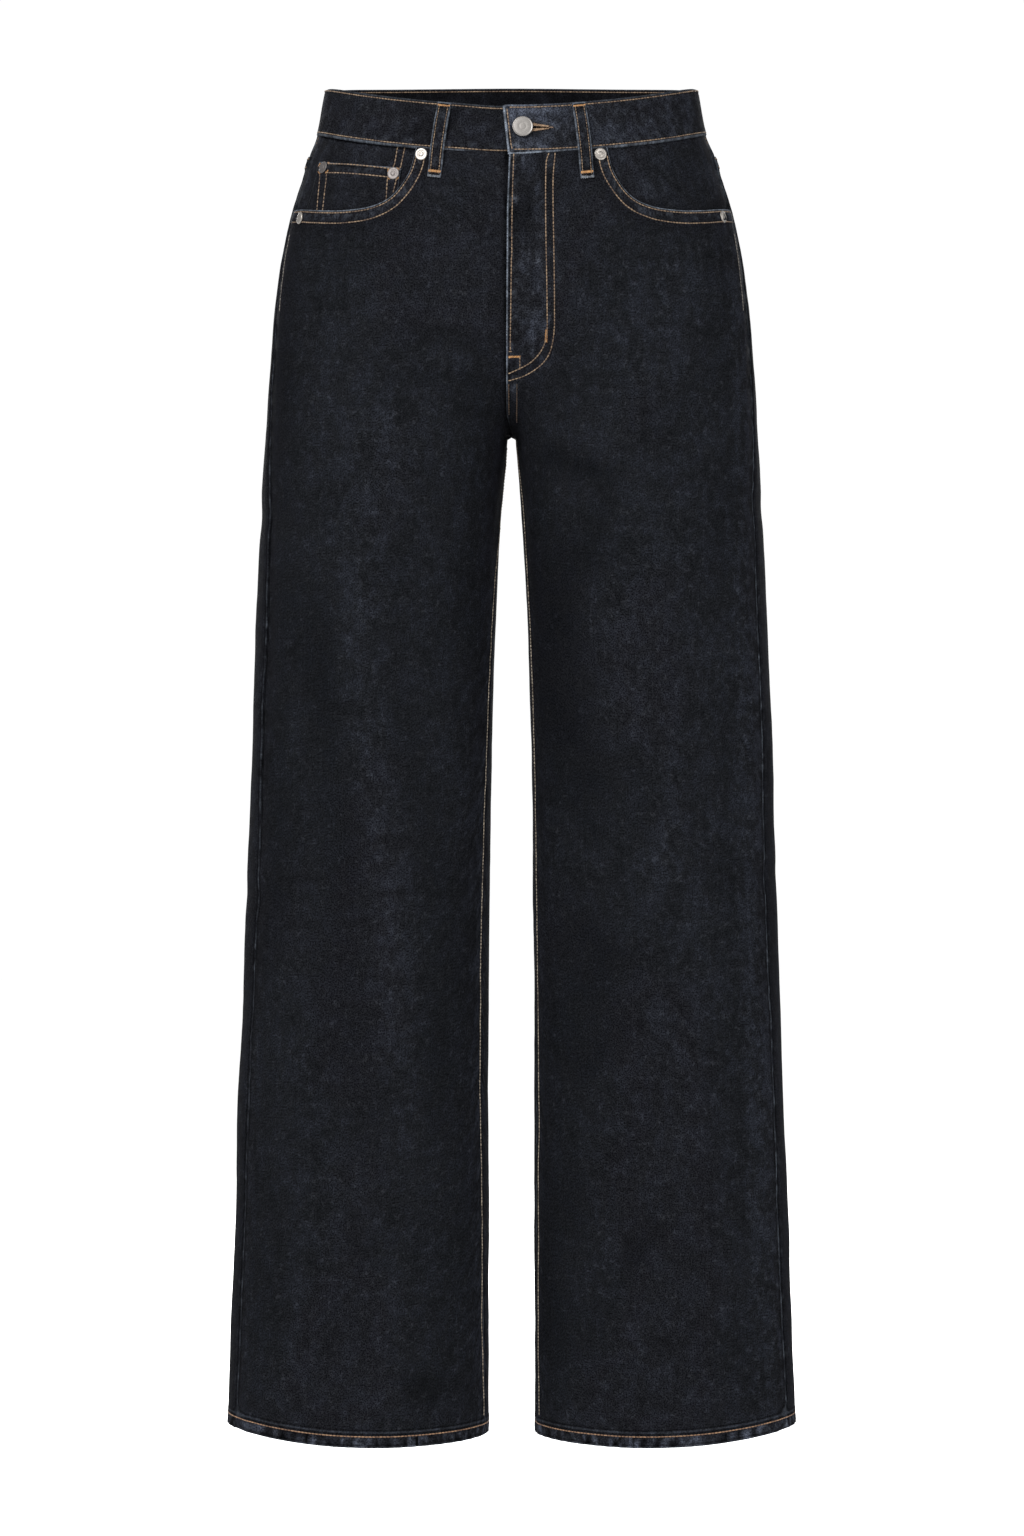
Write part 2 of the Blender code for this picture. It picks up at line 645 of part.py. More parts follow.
def turned(name, centre, axis, outline, material):
    """A solid of revolution: outline is (radius, height) from the axis round to the axis."""
    turn = axis.to_track_quat("Z", "Y").to_matrix().to_4x4()
    builder = bmesh.new()
    rings = []
    for radius, height in outline:
        if radius == 0:
            rings.append([builder.verts.new((0, 0, height))])
            continue
        angles = [2 * math.pi * step / TURNING_STEPS for step in range(TURNING_STEPS)]
        rings.append([builder.verts.new((radius * math.cos(a), radius * math.sin(a), height))
                      for a in angles])
    for lower, upper in zip(rings, rings[1:]):
        for step in range(TURNING_STEPS):
            after = (step + 1) % TURNING_STEPS
            if len(lower) == 1:
                builder.faces.new((lower[0], upper[step], upper[after]))
            elif len(upper) == 1:
                builder.faces.new((lower[after], lower[step], upper[0]))
            else:
                builder.faces.new((lower[step], lower[after], upper[after], upper[step]))
    bmesh.ops.transform(builder, matrix=Matrix.Translation(centre) @ turn, verts=builder.verts)
    return finish(name, builder, material)


def make_button(name):
    """A tack button: its shank comes up through the eye and its head covers it."""
    u = front_u(BUTTON_X, BUTTON_Z)
    head = BUTTON_HEAD_LIFT
    foot = BAND_LIFT - BAND_CLOTH - LAP_GAP + SEAM
    r, h = BUTTON_RADIUS, BUTTON_HEIGHT
    outline = ((0, foot), (BUTTON_SHANK_RADIUS, foot), (BUTTON_SHANK_RADIUS, head),
               (0.86 * r, head), (0.98 * r, head + 0.25 * h), (r, head + 0.5 * h),
               (0.95 * r, head + 0.78 * h), (0.82 * r, head + 0.92 * h), (0.7 * r, head + 0.86 * h),
               (0.35 * r, head + 0.9 * h), (0, head + h))
    return turned(name, place(1, u, BUTTON_Z), outward(u, BUTTON_Z), outline, "brushed_steel")


def make_rivet(name, side, x, z, seat):
    u = front_u(x, z)
    axis = outward(u, z)
    axis.x *= side
    low, r = seat + RIVET_SEAT, RIVET_RADIUS
    outline = ((0, low), (0.94 * r, low), (r, low + 0.4 * MM), (0.9 * r, low + 0.9 * MM),
               (0.55 * r, low + 1.1 * MM), (0.45 * r, low + 1.5 * MM), (0, low + 1.7 * MM))
    return turned(name, place(side, u, z), axis, outline, "rivet_steel")


# ---------------------------------------------------------------- the jeans

def build():
    for thing in list(bpy.data.objects):
        bpy.data.objects.remove(thing, do_unlink=True)
    make_waistband("waistband")
    for word, side in (("left", 1), ("right", -1)):
        make_front(f"front_{word}", side)
        make_back(f"back_{word}", side)
        make_yoke(f"yoke_{word}", side)
        make_facing(f"pocket_facing_{word}", side)
        make_back_pocket(f"back_pocket_{word}", side)
    make_coin_pocket("coin_pocket")
    make_underlap("fly_underlap")
    for loop in LOOPS:
        make_loop(*loop)
    make_button("button")
    for rivet in RIVETS:
        make_rivet(*rivet)


build()
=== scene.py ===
"""Straight leg jeans in blue-black denim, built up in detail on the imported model.

Frame: metres, +Z up. The front faces -Y and the wearer's left is +X. Every panel lies on one form: u
runs round one half of it, from -1 at the centre front through 0 at the side to 1 at the centre back,
and z runs down it. side is 1 on the wearer's left and -1 on the right.
"""

import math

import bmesh
import bpy
import numpy as np
from mathutils import Matrix, Vector
from mathutils.bvhtree import BVHTree


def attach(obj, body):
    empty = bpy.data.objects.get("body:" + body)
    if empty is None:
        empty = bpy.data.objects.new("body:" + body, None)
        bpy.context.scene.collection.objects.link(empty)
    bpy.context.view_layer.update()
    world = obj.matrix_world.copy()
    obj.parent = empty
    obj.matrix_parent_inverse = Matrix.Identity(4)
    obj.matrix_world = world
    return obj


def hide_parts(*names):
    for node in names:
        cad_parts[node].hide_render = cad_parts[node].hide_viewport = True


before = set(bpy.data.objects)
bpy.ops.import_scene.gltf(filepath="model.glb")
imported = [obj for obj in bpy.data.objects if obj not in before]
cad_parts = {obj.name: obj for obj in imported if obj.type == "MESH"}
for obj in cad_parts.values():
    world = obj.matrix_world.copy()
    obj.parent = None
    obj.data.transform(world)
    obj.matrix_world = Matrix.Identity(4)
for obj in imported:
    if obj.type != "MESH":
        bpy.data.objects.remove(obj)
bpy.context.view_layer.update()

MM = 0.001
TURN = 2 * math.pi

# ------------------------------------------------------------------ sizes shared with the solids

CLOTH = 1.2 * MM              # walls: panels, the folded hem and the waistband
HEM_CLOTH = 2.6 * MM
BAND_CLOTH = 3.0 * MM
SEAM = 0.3 * MM               # between two panels that are sewn together
UNDERLAY_GAP = 0.6 * MM       # between a panel and what lies behind it
LAP_GAP = 0.8 * MM            # between the two ends of the waistband

RISE_START = {"front": -158 * MM, "back": -168 * MM}    # where the hips begin to part into legs
SIDE_START = -100 * MM
LEG_SPREAD = 240 * MM         # how far below the crotch the sides are fully a leg's
CROTCH_SHARPNESS = 6.0
HIP_POWER = 2.25              # of the ovals that the hips and the legs follow: 2 is a plain ellipse
LEG_POWER = 2.15
PROFILE_COLUMNS = ("z", "side", "front", "back", "gap", "outseam", "inseam_right", "inseam_left")
# In mm: height, half width, depth before and behind, half gap between the legs, and how far in from the
# outline each seam lies.
PROFILE = np.array((
    (30, 144.0, 92.0, 94.0, 3.1, 0.8, 0.0, 0.0),
    (0, 145.3, 93.0, 97.0, 3.1, 0.8, 0.0, 0.0),
    (-38, 152.3, 96.0, 104.0, 3.1, 1.0, 0.0, 0.0),
    (-54, 158.6, 98.0, 108.0, 3.1, 1.2, 0.0, 0.0),
    (-70, 163.6, 99.5, 111.0, 3.1, 1.5, 0.0, 0.0),
    (-101, 173.4, 101.5, 116.0, 3.1, 2.0, 0.0, 0.0),
    (-132, 180.2, 102.0, 119.0, 3.1, 2.6, 0.0, 0.0),
    (-164, 184.8, 101.5, 119.5, 3.1, 3.2, 0.0, 0.0),
    (-200, 188.5, 100.0, 117.5, 3.1, 3.8, 0.0, 0.0),
    (-272.4, 193.1, 95.0, 105.0, 3.1, 5.5, 0.0, 0.0),
    (-321, 196.0, 92.0, 97.0, 7.2, 8.0, 0.1, 0.6),
    (-400, 199.4, 86.0, 87.0, 11.4, 9.5, 2.1, 1.2),
    (-478, 202.5, 80.0, 79.0, 14.1, 10.2, 3.8, 1.5),
    (-560, 205.5, 75.0, 74.0, 16.0, 10.8, 5.6, 1.8),
    (-713, 210.9, 70.0, 70.0, 17.7, 10.8, 7.1, 2.0),
    (-871, 216.5, 67.0, 67.0, 17.7, 10.0, 5.9, 1.9),
    (-1060, 223.3, 65.0, 65.0, 18.3, 8.3, 3.2, 2.0),
))

BAND_HEIGHT = 35.7 * MM
BAND_LIFT = 0.9 * MM
FRONT_DIP = 29 * MM
BACK_RISE = 19 * MM
BAND_END_X = (-6 * MM, -2 * MM)
BAND_UNDER_X = 34 * MM
BAND_STEP_X = (-46 * MM, -8.5 * MM)

FLY_LAP_END = (-256 * MM, -270 * MM)
UNDERLAP_X = (-11 * MM, 33 * MM)

POCKET_EDGE = (  # x and z in mm of the pocket mouth, from the outseam upwards
    (166.0, -98.8), (158.0, -100.9), (147.0, -103.4), (131.5, -105.3), (114.5, -105.0),
    (103.0, -102.8), (94.0, -98.9), (87.3, -93.2), (81.8, -86.0), (76.4, -76.0),
)
POCKET_SIDE_Z = -97.6 * MM
POCKET_CORNER_X = 72.4 * MM
FACING_BELOW = 24 * MM
COIN_X = (152 * MM, 84 * MM)
COIN_TOP_Z = (-62.2 * MM, -75 * MM)
COIN_BOTTOM_Z = -124 * MM

YOKE_SIDE_Z = -56 * MM
YOKE_CENTRE_Z = -92 * MM
BACK_POCKET_X = 90 * MM
BACK_POCKET_HALF = (66 * MM, 58 * MM)
BACK_POCKET_TOP = (-102 * MM, -108 * MM)
BACK_POCKET_CORNER_Z = -222 * MM
BACK_POCKET_TIP = 18 * MM

HEM_HEIGHT = 12 * MM
HEM_Z = {"front": -1051.5 * MM, "outer": -1044 * MM, "inner": -1049 * MM, "back": -1049 * MM}

LOOP_WIDTH = 9.6 * MM
LOOP_CLOTH = 1.8 * MM
LOOP_RISE = (  # share of the way down a loop, and mm that it stands off the form
    (0.0, 1.3), (0.10, 1.5), (0.25, 3.0), (0.45, 3.6), (0.62, 3.4), (0.76, 2.2), (0.86, 0.7), (1.0, 0.45),
)
LOOPS = (  # name, side, face, x at the top and at the bottom, and length
    ("belt_loop_front_left", 1, "front", 50.7 * MM, 57.3 * MM, 57.5 * MM),
    ("belt_loop_front_right", -1, "front", 50.7 * MM, 58.6 * MM, 57.0 * MM),
    ("belt_loop_side_left", 1, "back", 96 * MM, 99 * MM, 57.0 * MM),
    ("belt_loop_side_right", -1, "back", 96 * MM, 99 * MM, 57.0 * MM),
    ("belt_loop_back", 1, "back", 0.0, 0.0, 57.0 * MM),
)

BUTTON_X = 8.3 * MM
BUTTON_Z = -46 * MM
BUTTON_RADIUS = 7.85 * MM
RIVET_RADIUS = 4.8 * MM
RIVETS = (  # name, side, x, z and how far out from the form it sits
    ("rivet_pocket_top_left", 1, 67.3 * MM, -65.6 * MM, 0.0),
    ("rivet_pocket_top_right", -1, 68.4 * MM, -65.6 * MM, 0.0),
    ("rivet_pocket_side_left", 1, 162.8 * MM, -105.5 * MM, 0.0),
    ("rivet_pocket_side_right", -1, 163.0 * MM, -106.6 * MM, 0.0),
    ("rivet_coin_outer", -1, 146.3 * MM, -68.0 * MM, -(CLOTH + UNDERLAY_GAP)),
    ("rivet_coin_inner", -1, 90.4 * MM, -79.0 * MM, -(CLOTH + UNDERLAY_GAP)),
)

# ------------------------------------------------------------------ sizes of the cloth's own

CROTCH_Z = -269.4 * MM       # 3 mm above the solids' crotch
CROTCH_WEB = 2.6 * MM        # the seams stay closed this far below it
ARCH = 0.35 * MM             # the height in which the legs then part
ARCH_FROM = 0.965            # and the share of the way round at which the parting starts
FLY_REACH = {1: 3 * MM, -1: 4 * MM}    # how far each front passes the centre: the left over the right
UNDERLAP_LOW = -214 * MM
UNDERLAP_DEPTH = 2.9 * MM    # behind the form
BUTTONHOLE_TIP_X = 28.5 * MM
YOKE_LAP = 1.5 * MM          # the back panels lap over the yokes
TUCK = 0.5 * MM              # the left side's centre edge passes the right one's by this

COLUMN = 2.6 * MM            # between the points of a panel's mesh, across
ROW = 4.2 * MM               # and down the legs
FAR = 50 * MM                # cloth this far from an edge has no wear from it
NEVER = 1.0                  # metres that keep an edge from being the nearest
ROUND_MM = 150.0             # about how many mm one unit of u is
TWILL_PITCH = (0.95 * MM, 1.8 * MM)    # the weave's slanting ribs, across and down
STITCH_PITCH = 2.6 * MM
STITCH_LENGTH = 3.3 * MM
THREAD = 0.55 * MM           # radius of the topstitching thread
EDGE_STITCH = 1.6 * MM       # an edge's topstitching lies this far in
TWIN_GAUGE = 6.6 * MM        # between two rows of twin needle topstitching
LINE_STEP = 1.4 * MM         # between the points of a line that stitches follow
HEM_STITCH = 8.2 * MM        # above the lower edge of the hem
HEM_LEAN = (                 # from -1 at the inseam to 1 at the outseam, and mm that the hem rises there
    (-1, -0.9, -0.6, -0.3, -0.1, 0.22, 0.5, 0.76, 0.93, 1),
    (-1.9, -1.5, -1.4, -1.5, -1.1, 0, 1.1, 1.8, 1.5, 0.6),
)
# Rows of points in mm: below the crotch, above the hem's edge, and below the waistband's top.
CROTCH_ROWS = (0.6, 1.3, 2.0, 2.6, 2.95, 3.4, 4.2, 5.6, 7.6, 10.4, 13.8, 17)
HEM_ROWS = (12.5, 11.9, 11.2, 10.2, 9.2, 8.2, 7.2, 6, 4.7, 3.4, 2.2, 1.2, 0.5, 0)
BAND_ROWS = (0, 0.5, 1.1, 1.7, 2.6, 4, 6, 9, 13, 17.85, 22.7, 26.7, 29.7, 31.7, 33.1, 34.0, 34.6, 35.2, 35.7)

# Creases, one by one: side, half width and height in mm, then x and z in mm. Below 0 is a trough.
FRONT_FOLDS = (
    (-1, 6, -1.2, ((102, -166), (66, -170), (32, -177), (11, -181))),
    (-1, 8, 1.1, ((70, -190), (43, -192), (16, -197))),
    (-1, 5.5, -2.0, ((91, -207), (66, -207), (43, -208), (19, -214), (9, -229))),
    (-1, 8, 1.3, ((96, -220), (62, -222), (28, -227))),
    (-1, 5, -2.2, ((94, -236), (70, -235), (51, -236), (26, -239), (7, -245))),
    (-1, 6, 0.9, ((85, -246), (55, -247), (32, -250))),
    (-1, 5.5, -1.6, ((48, -260), (28, -262), (7, -263))),
    (-1, 18, 1.8, ((102, -251), (96, -282), (97, -312))),
    (-1, 10, -1.4, ((67, -295), (62, -306), (58, -327))),
    (-1, 17, 1.6, ((106, -305), (115, -358), (127, -404), (130, -443), (127, -481), (123, -514))),
    (-1, 12, 2.0, ((130, -472), (123, -514), (118, -544), (109, -575), (103, -609), (97, -652),
                   (93, -694), (88, -740), (77, -782), (70, -817))),
    (-1, 13, -2.8, ((149, -342), (145, -403), (142, -449), (140, -495), (133, -537), (122, -586),
                    (114, -636), (110, -686))),
    (-1, 12, -2.2, ((88, -434), (82, -480), (78, -510), (67, -556), (55, -602), (54, -652), (58, -698))),
    (-1, 14, -1.4, ((32, -341), (29, -402), (34, -464), (38, -502))),
    (-1, 9, -1.3, ((50, -698), (58, -733), (55, -771), (57, -806), (50, -849))),
    (-1, 8, -1.0, ((152, -941), (128, -952), (107, -974), (76, -972))),
    (-1, 9, -1.8, ((84, -1015), (67, -1011), (51, -1017))),
    (-1, 14, -1.8, ((190, -266), (190, -401), (192, -525), (194, -634))),
    (1, 6, -3.2, ((10, -275), (29, -289), (51, -300), (70, -308), (76, -323))),
    (1, 14, 1.4, ((28, -309), (42, -320), (55, -331))),
    (1, 8, -2.2, ((74, -312), (70, -331), (64, -350), (55, -373), (48, -395))),
    (1, 13, -1.8, ((42, -372), (39, -418), (42, -464), (46, -510), (52, -548))),
    (1, 16, 1.6, ((84, -358), (84, -404), (81, -441), (89, -480), (110, -525))),
    (1, 7, -2.2, ((31, -544), (46, -565), (64, -582), (83, -588))),
    (1, 8, -2.8, ((74, -498), (90, -522), (106, -550), (103, -577), (92, -596), (83, -616))),
    (1, 12, 2.0, ((116, -533), (120, -571), (110, -603), (106, -632))),
    (1, 8, -2.0, ((37, -637), (59, -662), (82, -677), (98, -695))),
    (1, 9, -2.2, ((77, -712), (83, -732), (69, -749), (53, -770), (47, -795))),
    (1, 9, -1.6, ((45, -834), (47, -868), (42, -896))),
    (1, 6, -1.8, ((104, -879), (111, -892), (97, -906), (94, -922), (72, -938))),
    (1, 8, -1.6, ((31, -944), (57, -958), (70, -988))),
    (1, 12, 1.6, ((77, -957), (98, -978), (120, -982))),
    (1, 8, -1.1, ((144, -642), (154, -675), (184, -681))),
    (1, 8, -1.2, ((140, -824), (144, -851), (137, -874))),
    (1, 7, -1.1, ((49, -169), (67, -173), (88, -173))),
    (1, 9, -0.9, ((46, -245), (67, -253), (98, -258), (125, -262))),
    (1, 8, -1.0, ((144, -190), (162, -193), (178, -186))),
    (1, 8, -1.0, ((138, -224), (157, -226), (178, -233))),
)
# Painted light and shade on the front, in broad soft streaks down the legs and over the hips, except the last
# two, which are pale worn patches below the fly: side, half width in mm, tone, then x and z in mm.
FRONT_PAINTED_SHADING = (
    (-1, 13, 0.08, ((115, -350), (115, -449), (104, -586), (89, -716), (70, -800))),
    (-1, 24, 0.06, ((39, -312), (30, -419), (28, -525), (30, -610))),
    (-1, 20, -0.13, ((153, -373), (150, -487), (138, -601), (123, -716), (108, -830))),
    (-1, 22, -0.10, ((52, -660), (46, -760), (40, -860))),
    (-1, 26, 0.03, ((100, -860), (86, -930), (70, -975))),
    (-1, 30, 0.04, ((120, -215), (112, -262), (112, -320))),
    (-1, 14, -0.20, ((86, -1004), (66, -1008), (52, -1016))),
    (1, 15, -0.24, ((20, -292), (42, -304), (66, -312))),
    (1, 26, -0.26, ((33, -340), (31, -419), (34, -480), (50, -525), (76, -571))),
    (1, 25, -0.24, ((37, -640), (58, -680), (58, -723), (48, -776))),
    (1, 22, -0.20, ((44, -830), (33, -906), (33, -974), (37, -1012))),
    (1, 12, -0.16, ((106, -876), (96, -892), (88, -915))),
    (1, 30, 0.05, ((118, -330), (128, -419), (136, -525), (130, -601), (136, -753), (140, -860))),
    (1, 42, 0.13, ((104, -130), (110, -190), (112, -250))),
    (-1, 20, -0.15, ((172, -140), (180, -210), (184, -290))),
    (1, 3, 1.1, ((1.8, -236), (2.2, -243))),
    (1, 4, 0.25, ((10, -238), (9, -250))),
)
BACK_FOLDS = (
    (1, 8, -2.6, ((16, -296), (45, -316), (84, -326), (128, -318))),
    (1, 13, 2.0, ((30, -322), (70, -342), (120, -338))),
    (1, 8, -1.8, ((34, -350), (66, -366), (104, -372))),
    (1, 14, 2.6, ((122, -360), (114, -430), (104, -500), (98, -560))),
    (1, 12, -2.4, ((80, -400), (72, -460), (70, -520))),
    (1, 7, -2.4, ((40, -556), (74, -574), (112, -578), (150, -562))),
    (1, 9, 1.8, ((52, -580), (88, -598), (132, -592))),
    (1, 7, -2.2, ((50, -610), (86, -624), (130, -616))),
    (1, 10, -1.8, ((150, -640), (136, -700), (120, -760), (112, -820))),
    (1, 14, 2.2, ((90, -650), (86, -730), (92, -810), (88, -880))),
    (1, 9, -1.5, ((60, -900), (92, -930), (130, -940))),
    (1, 8, -1.4, ((150, -985), (116, -1004), (84, -1000))),
    (-1, 8, -2.4, ((14, -292), (50, -318), (92, -330), (136, -324))),
    (-1, 14, 2.2, ((36, -330), (80, -350), (124, -350))),
    (-1, 7, -1.6, ((44, -362), (80, -378), (122, -380))),
    (-1, 13, 2.4, ((108, -380), (120, -450), (126, -520), (118, -570))),
    (-1, 13, -2.2, ((64, -410), (60, -480), (66, -540))),
    (-1, 7, -2.6, ((44, -572), (82, -586), (120, -580), (158, -566))),
    (-1, 9, 1.9, ((60, -598), (100, -612), (140, -602))),
    (-1, 7, -1.9, ((46, -622), (82, -640), (124, -640))),
    (-1, 11, -2.0, ((132, -660), (144, -730), (140, -800))),
    (-1, 13, 2.0, ((80, -670), (94, -750), (88, -830), (96, -900))),
    (-1, 9, -1.5, ((140, -915), (108, -934), (76, -930))),
    (-1, 8, -1.3, ((60, -990), (96, -1008), (132, -1002))),
)
SIDE_FOLDS = (  # x is mm round from the outseam, forwards below 0
    (1, 10, -1.6, ((-30, -300), (-8, -322), (24, -330), (50, -344))),
    (1, 12, 1.8, ((-20, -420), (6, -500), (14, -580))),
    (1, 9, -1.8, ((-34, -600), (-4, -618), (30, -612))),
    (1, 12, 1.6, ((10, -690), (-6, -780), (4, -860))),
    (-1, 10, -1.6, ((-34, -318), (-6, -334), (30, -338), (56, -352))),
    (-1, 12, 1.8, ((16, -430), (-4, -510), (8, -590))),
    (-1, 9, -1.7, ((-30, -622), (4, -634), (34, -626))),
    (-1, 12, 1.5, ((-8, -700), (8, -790), (-2, -880))),
)


# ------------------------------------------------------------------ small sums

def mix(first, second, share):
    return first + (second - first) * share


def smooth_step(start, end, value):
    share = np.clip((value - start) / (end - start), 0.0, 1.0)
    return share * share * (3 - 2 * share)


def bell(distance, width):
    """1 at no distance, falling away smoothly to about a third at the width."""
    return np.exp(-(distance / width) ** 2)


def soft_noise(seed, across, along):
    """Smooth noise from -1 to 1, with features about one unit wide."""
    across, along = np.broadcast_arrays(across, along)
    lattice = np.random.default_rng(seed).uniform(-1, 1, (97, 97))
    column, row = np.floor(across).astype(int), np.floor(along).astype(int)
    right, down = across - column, along - row
    right, down = right * right * (3 - 2 * right), down * down * (3 - 2 * down)
    corners = [lattice[(column + x) % 97, (row + y) % 97] for y in (0, 1) for x in (0, 1)]
    return mix(mix(corners[0], corners[1], right), mix(corners[2], corners[3], right), down)


def lengths(points):
    """Distance along a line of points, from its first."""
    steps = np.linalg.norm(np.diff(points, axis=0), axis=-1)
    return np.concatenate(([0.0], np.cumsum(steps)))


def curve_through(points, spacing):
    """Evenly spaced points on a smooth curve through the given ones."""
    points = np.asarray(points, float)
    padded = np.vstack((2 * points[0] - points[1], points, 2 * points[-1] - points[-2]))
    t = np.linspace(0, 1, 16, endpoint=False)[:, None]
    fine = []
    for first, here, after, last in zip(padded, padded[1:], padded[2:], padded[3:]):
        square = 2 * first - 5 * here + 4 * after - last
        cube = 3 * here - first - 3 * after + last
        fine.append(0.5 * (2 * here + (after - first) * t + square * t ** 2 + cube * t ** 3))
    fine = np.vstack(fine + [points[-1:]])
    travelled = lengths(fine)
    wanted = np.linspace(0, travelled[-1], max(2, int(round(travelled[-1] / spacing)) + 1))
    columns = [np.interp(wanted, travelled, column) for column in fine.T]
    return np.stack(columns, axis=-1)


def off_line(across, along, line):
    """Distance from a broken line, and the share of its length at the nearest point."""
    line = np.asarray(line, float)
    travelled = lengths(line)
    nearest = np.full(np.shape(across), np.inf)
    share = np.zeros(np.shape(across))
    for number in range(len(line) - 1):
        start, step = line[number], line[number + 1] - line[number]
        t = np.clip(((across - start[0]) * step[0] + (along - start[1]) * step[1]) / (step @ step), 0, 1)
        away = np.hypot(across - start[0] - t * step[0], along - start[1] - t * step[1])
        closer = away < nearest
        nearest = np.where(closer, away, nearest)
        here = (travelled[number] + t * (travelled[number + 1] - travelled[number])) / travelled[-1]
        share = np.where(closer, here, share)
    return nearest, share


# ------------------------------------------------------------------ the form

def profile(z, *names):
    """Columns of PROFILE at height z, along a smooth curve through its rows."""
    height = np.asarray(z, float) / MM
    heights = PROFILE[:, 0]
    last = len(heights) - 1
    row = np.clip(np.searchsorted(-heights, -height) - 1, 0, last - 1)
    near = [np.clip(row + step, 0, last) for step in (-1, 0, 1, 2)]
    before, here, below, after = (heights[index] for index in near)
    span = below - here
    share = (height - here) / span
    square, cube = share ** 2, share ** 3
    found = []
    for name in names:
        column = PROFILE[:, PROFILE_COLUMNS.index(name)]
        values = [column[index] for index in near]
        slope_in = (values[2] - values[0]) / (below - before) * span
        slope_out = (values[3] - values[1]) / (after - here) * span
        from_here = (2 * cube - 3 * square + 1) * values[1] + (cube - 2 * square + share) * slope_in
        found.append(MM * (from_here + (3 * square - 2 * cube) * values[2] + (cube - square) * slope_out))
    return found if len(found) > 1 else found[0]


def oval(angle, power):
    """A point of a rounded box between a circle and a square, one unit in half width and height."""
    across, along = np.cos(angle), np.sin(angle)
    reach = (np.abs(across) ** power + np.abs(along) ** power) ** (-1 / power)
    return across * reach, along * reach


def half_gap(z, gap):
    """Half the way between the legs: a seam's width down to the web, then quickly the whole gap."""
    share = np.clip((CROTCH_Z - CROTCH_WEB - z) / ARCH, 0.0, 1.0)
    return SEAM / 2 + (gap - SEAM / 2) * np.sqrt(1 - (1 - share) ** 2)


def leg_share(u, z):
    """From 0 where the section is one oval round the hips to 1 where it is an oval round each leg."""
    near_seam = np.minimum(1.0, np.abs(u))
    start = mix(SIDE_START, np.where(u > 0, RISE_START["back"], RISE_START["front"]), near_seam)
    end = CROTCH_Z - LEG_SPREAD * (1 - near_seam)
    turned = np.clip((start - z) / (start - end), 0.0, 1.0)
    softness = np.minimum(2.0, 0.5 + CROTCH_SHARPNESS * (1 - near_seam))
    return 1 - (1 - turned ** 2) ** softness


def form(u, z):
    """The point of the left half's outer form at u and z."""
    u, z = np.broadcast_arrays(np.asarray(u, float), np.asarray(z, float))
    past = (u < -1) & (z > CROTCH_Z)     # past the centre front the form mirrors
    u = np.where(past, -2 - u, u)
    wide, front, back, gap = profile(z, "side", "front", "back", "gap")
    across, along = oval(u * math.pi / 2, HIP_POWER)
    hip_x = SEAM / 2 + (wide - SEAM / 2) * across
    hip_y = along * np.where(along > 0, back, front)
    across, along = oval(u * math.pi, LEG_POWER)
    leg_x = (wide + gap) / 2 + (wide - gap) / 2 * across
    leg_y = along * np.where(along > 0, back, front)
    share = leg_share(u, z)
    arch = share * (gap - half_gap(z, gap)) * smooth_step(ARCH_FROM, 1.0, np.abs(u))
    x = mix(hip_x, leg_x, share) - arch
    return np.stack((np.where(past, -x, x), mix(hip_y, leg_y, share), z), axis=-1)


def outward(u, z):
    """The form's outward direction at u and z."""
    du, dz = 0.004, 0.8 * MM
    around = form(u + du, z) - form(u - du, z)
    down = form(u, z - dz) - form(u, z + dz)
    normal = np.cross(down, around)
    return normal / np.linalg.norm(normal, axis=-1, keepdims=True)


def mirrored(side, points):
    """Points of the left half brought to one side, or each to its own."""
    side = np.asarray(side, float)
    return points * np.stack((side, np.ones(side.shape), np.ones(side.shape)), axis=-1)


def u_where_x(x, z, centre_u):
    """u of the point at x and z, between the outline and the centre, by halving."""
    x, z, centre_u = np.broadcast_arrays(np.asarray(x, float), z, centre_u)
    low, high = centre_u.astype(float).copy(), np.zeros(x.shape)
    for _ in range(34):
        middle = (low + high) / 2
        inside = form(middle, z)[..., 0] < x
        low, high = np.where(inside, middle, low), np.where(inside, high, middle)
    return (low + high) / 2


def front_u(x, z):
    return u_where_x(x, z, np.where(np.asarray(x) > SEAM / 2, -1.0, -1.3))


def back_u(x, z):
    return u_where_x(x, z, np.where(np.asarray(x) > SEAM / 2, 1.0, 1.3))


def along_u(u, z, distance):
    """u moved by a distance round the form."""
    step = 0.002
    speed = np.linalg.norm(form(u + step, z) - form(u - step, z), axis=-1) / (2 * step)
    return u + distance / speed


# ------------------------------------------------------------------ edges of the panels

def band_top(u):
    height = np.sin(u * math.pi / 2)
    return np.where(height > 0, BACK_RISE * height, -FRONT_DIP * np.abs(height) ** 1.7)


def band_bottom(u):
    return band_top(u) - BAND_HEIGHT


def yoke_z(u):
    return mix(YOKE_SIDE_Z, YOKE_CENTRE_Z, np.clip(np.sin(u * math.pi / 2), 0, 1) ** 1.2)


def hem_z(u):
    across, along = np.cos(u * math.pi), np.sin(u * math.pi)
    front_or_back = np.where(along > 0, HEM_Z["back"], HEM_Z["front"])
    outer_or_inner = np.where(across > 0, HEM_Z["outer"], HEM_Z["inner"])
    lean = np.interp(across, *HEM_LEAN) * np.where(along > 0, 0.5, 1.0) * MM
    return mix(front_or_back, outer_or_inner, across ** 2) + lean


def inseam_u(side, z, start, inward):
    """u of the inseam below the crotch, past the inner side at start."""
    inset, wide, gap = profile(z, "inseam_left" if side > 0 else "inseam_right", "side", "gap")
    half = (wide - half_gap(z, gap)) / 2
    turn = np.arccos(1 - np.maximum(0.0, inset) / half) / math.pi
    return along_u(start + turn, z, inward)


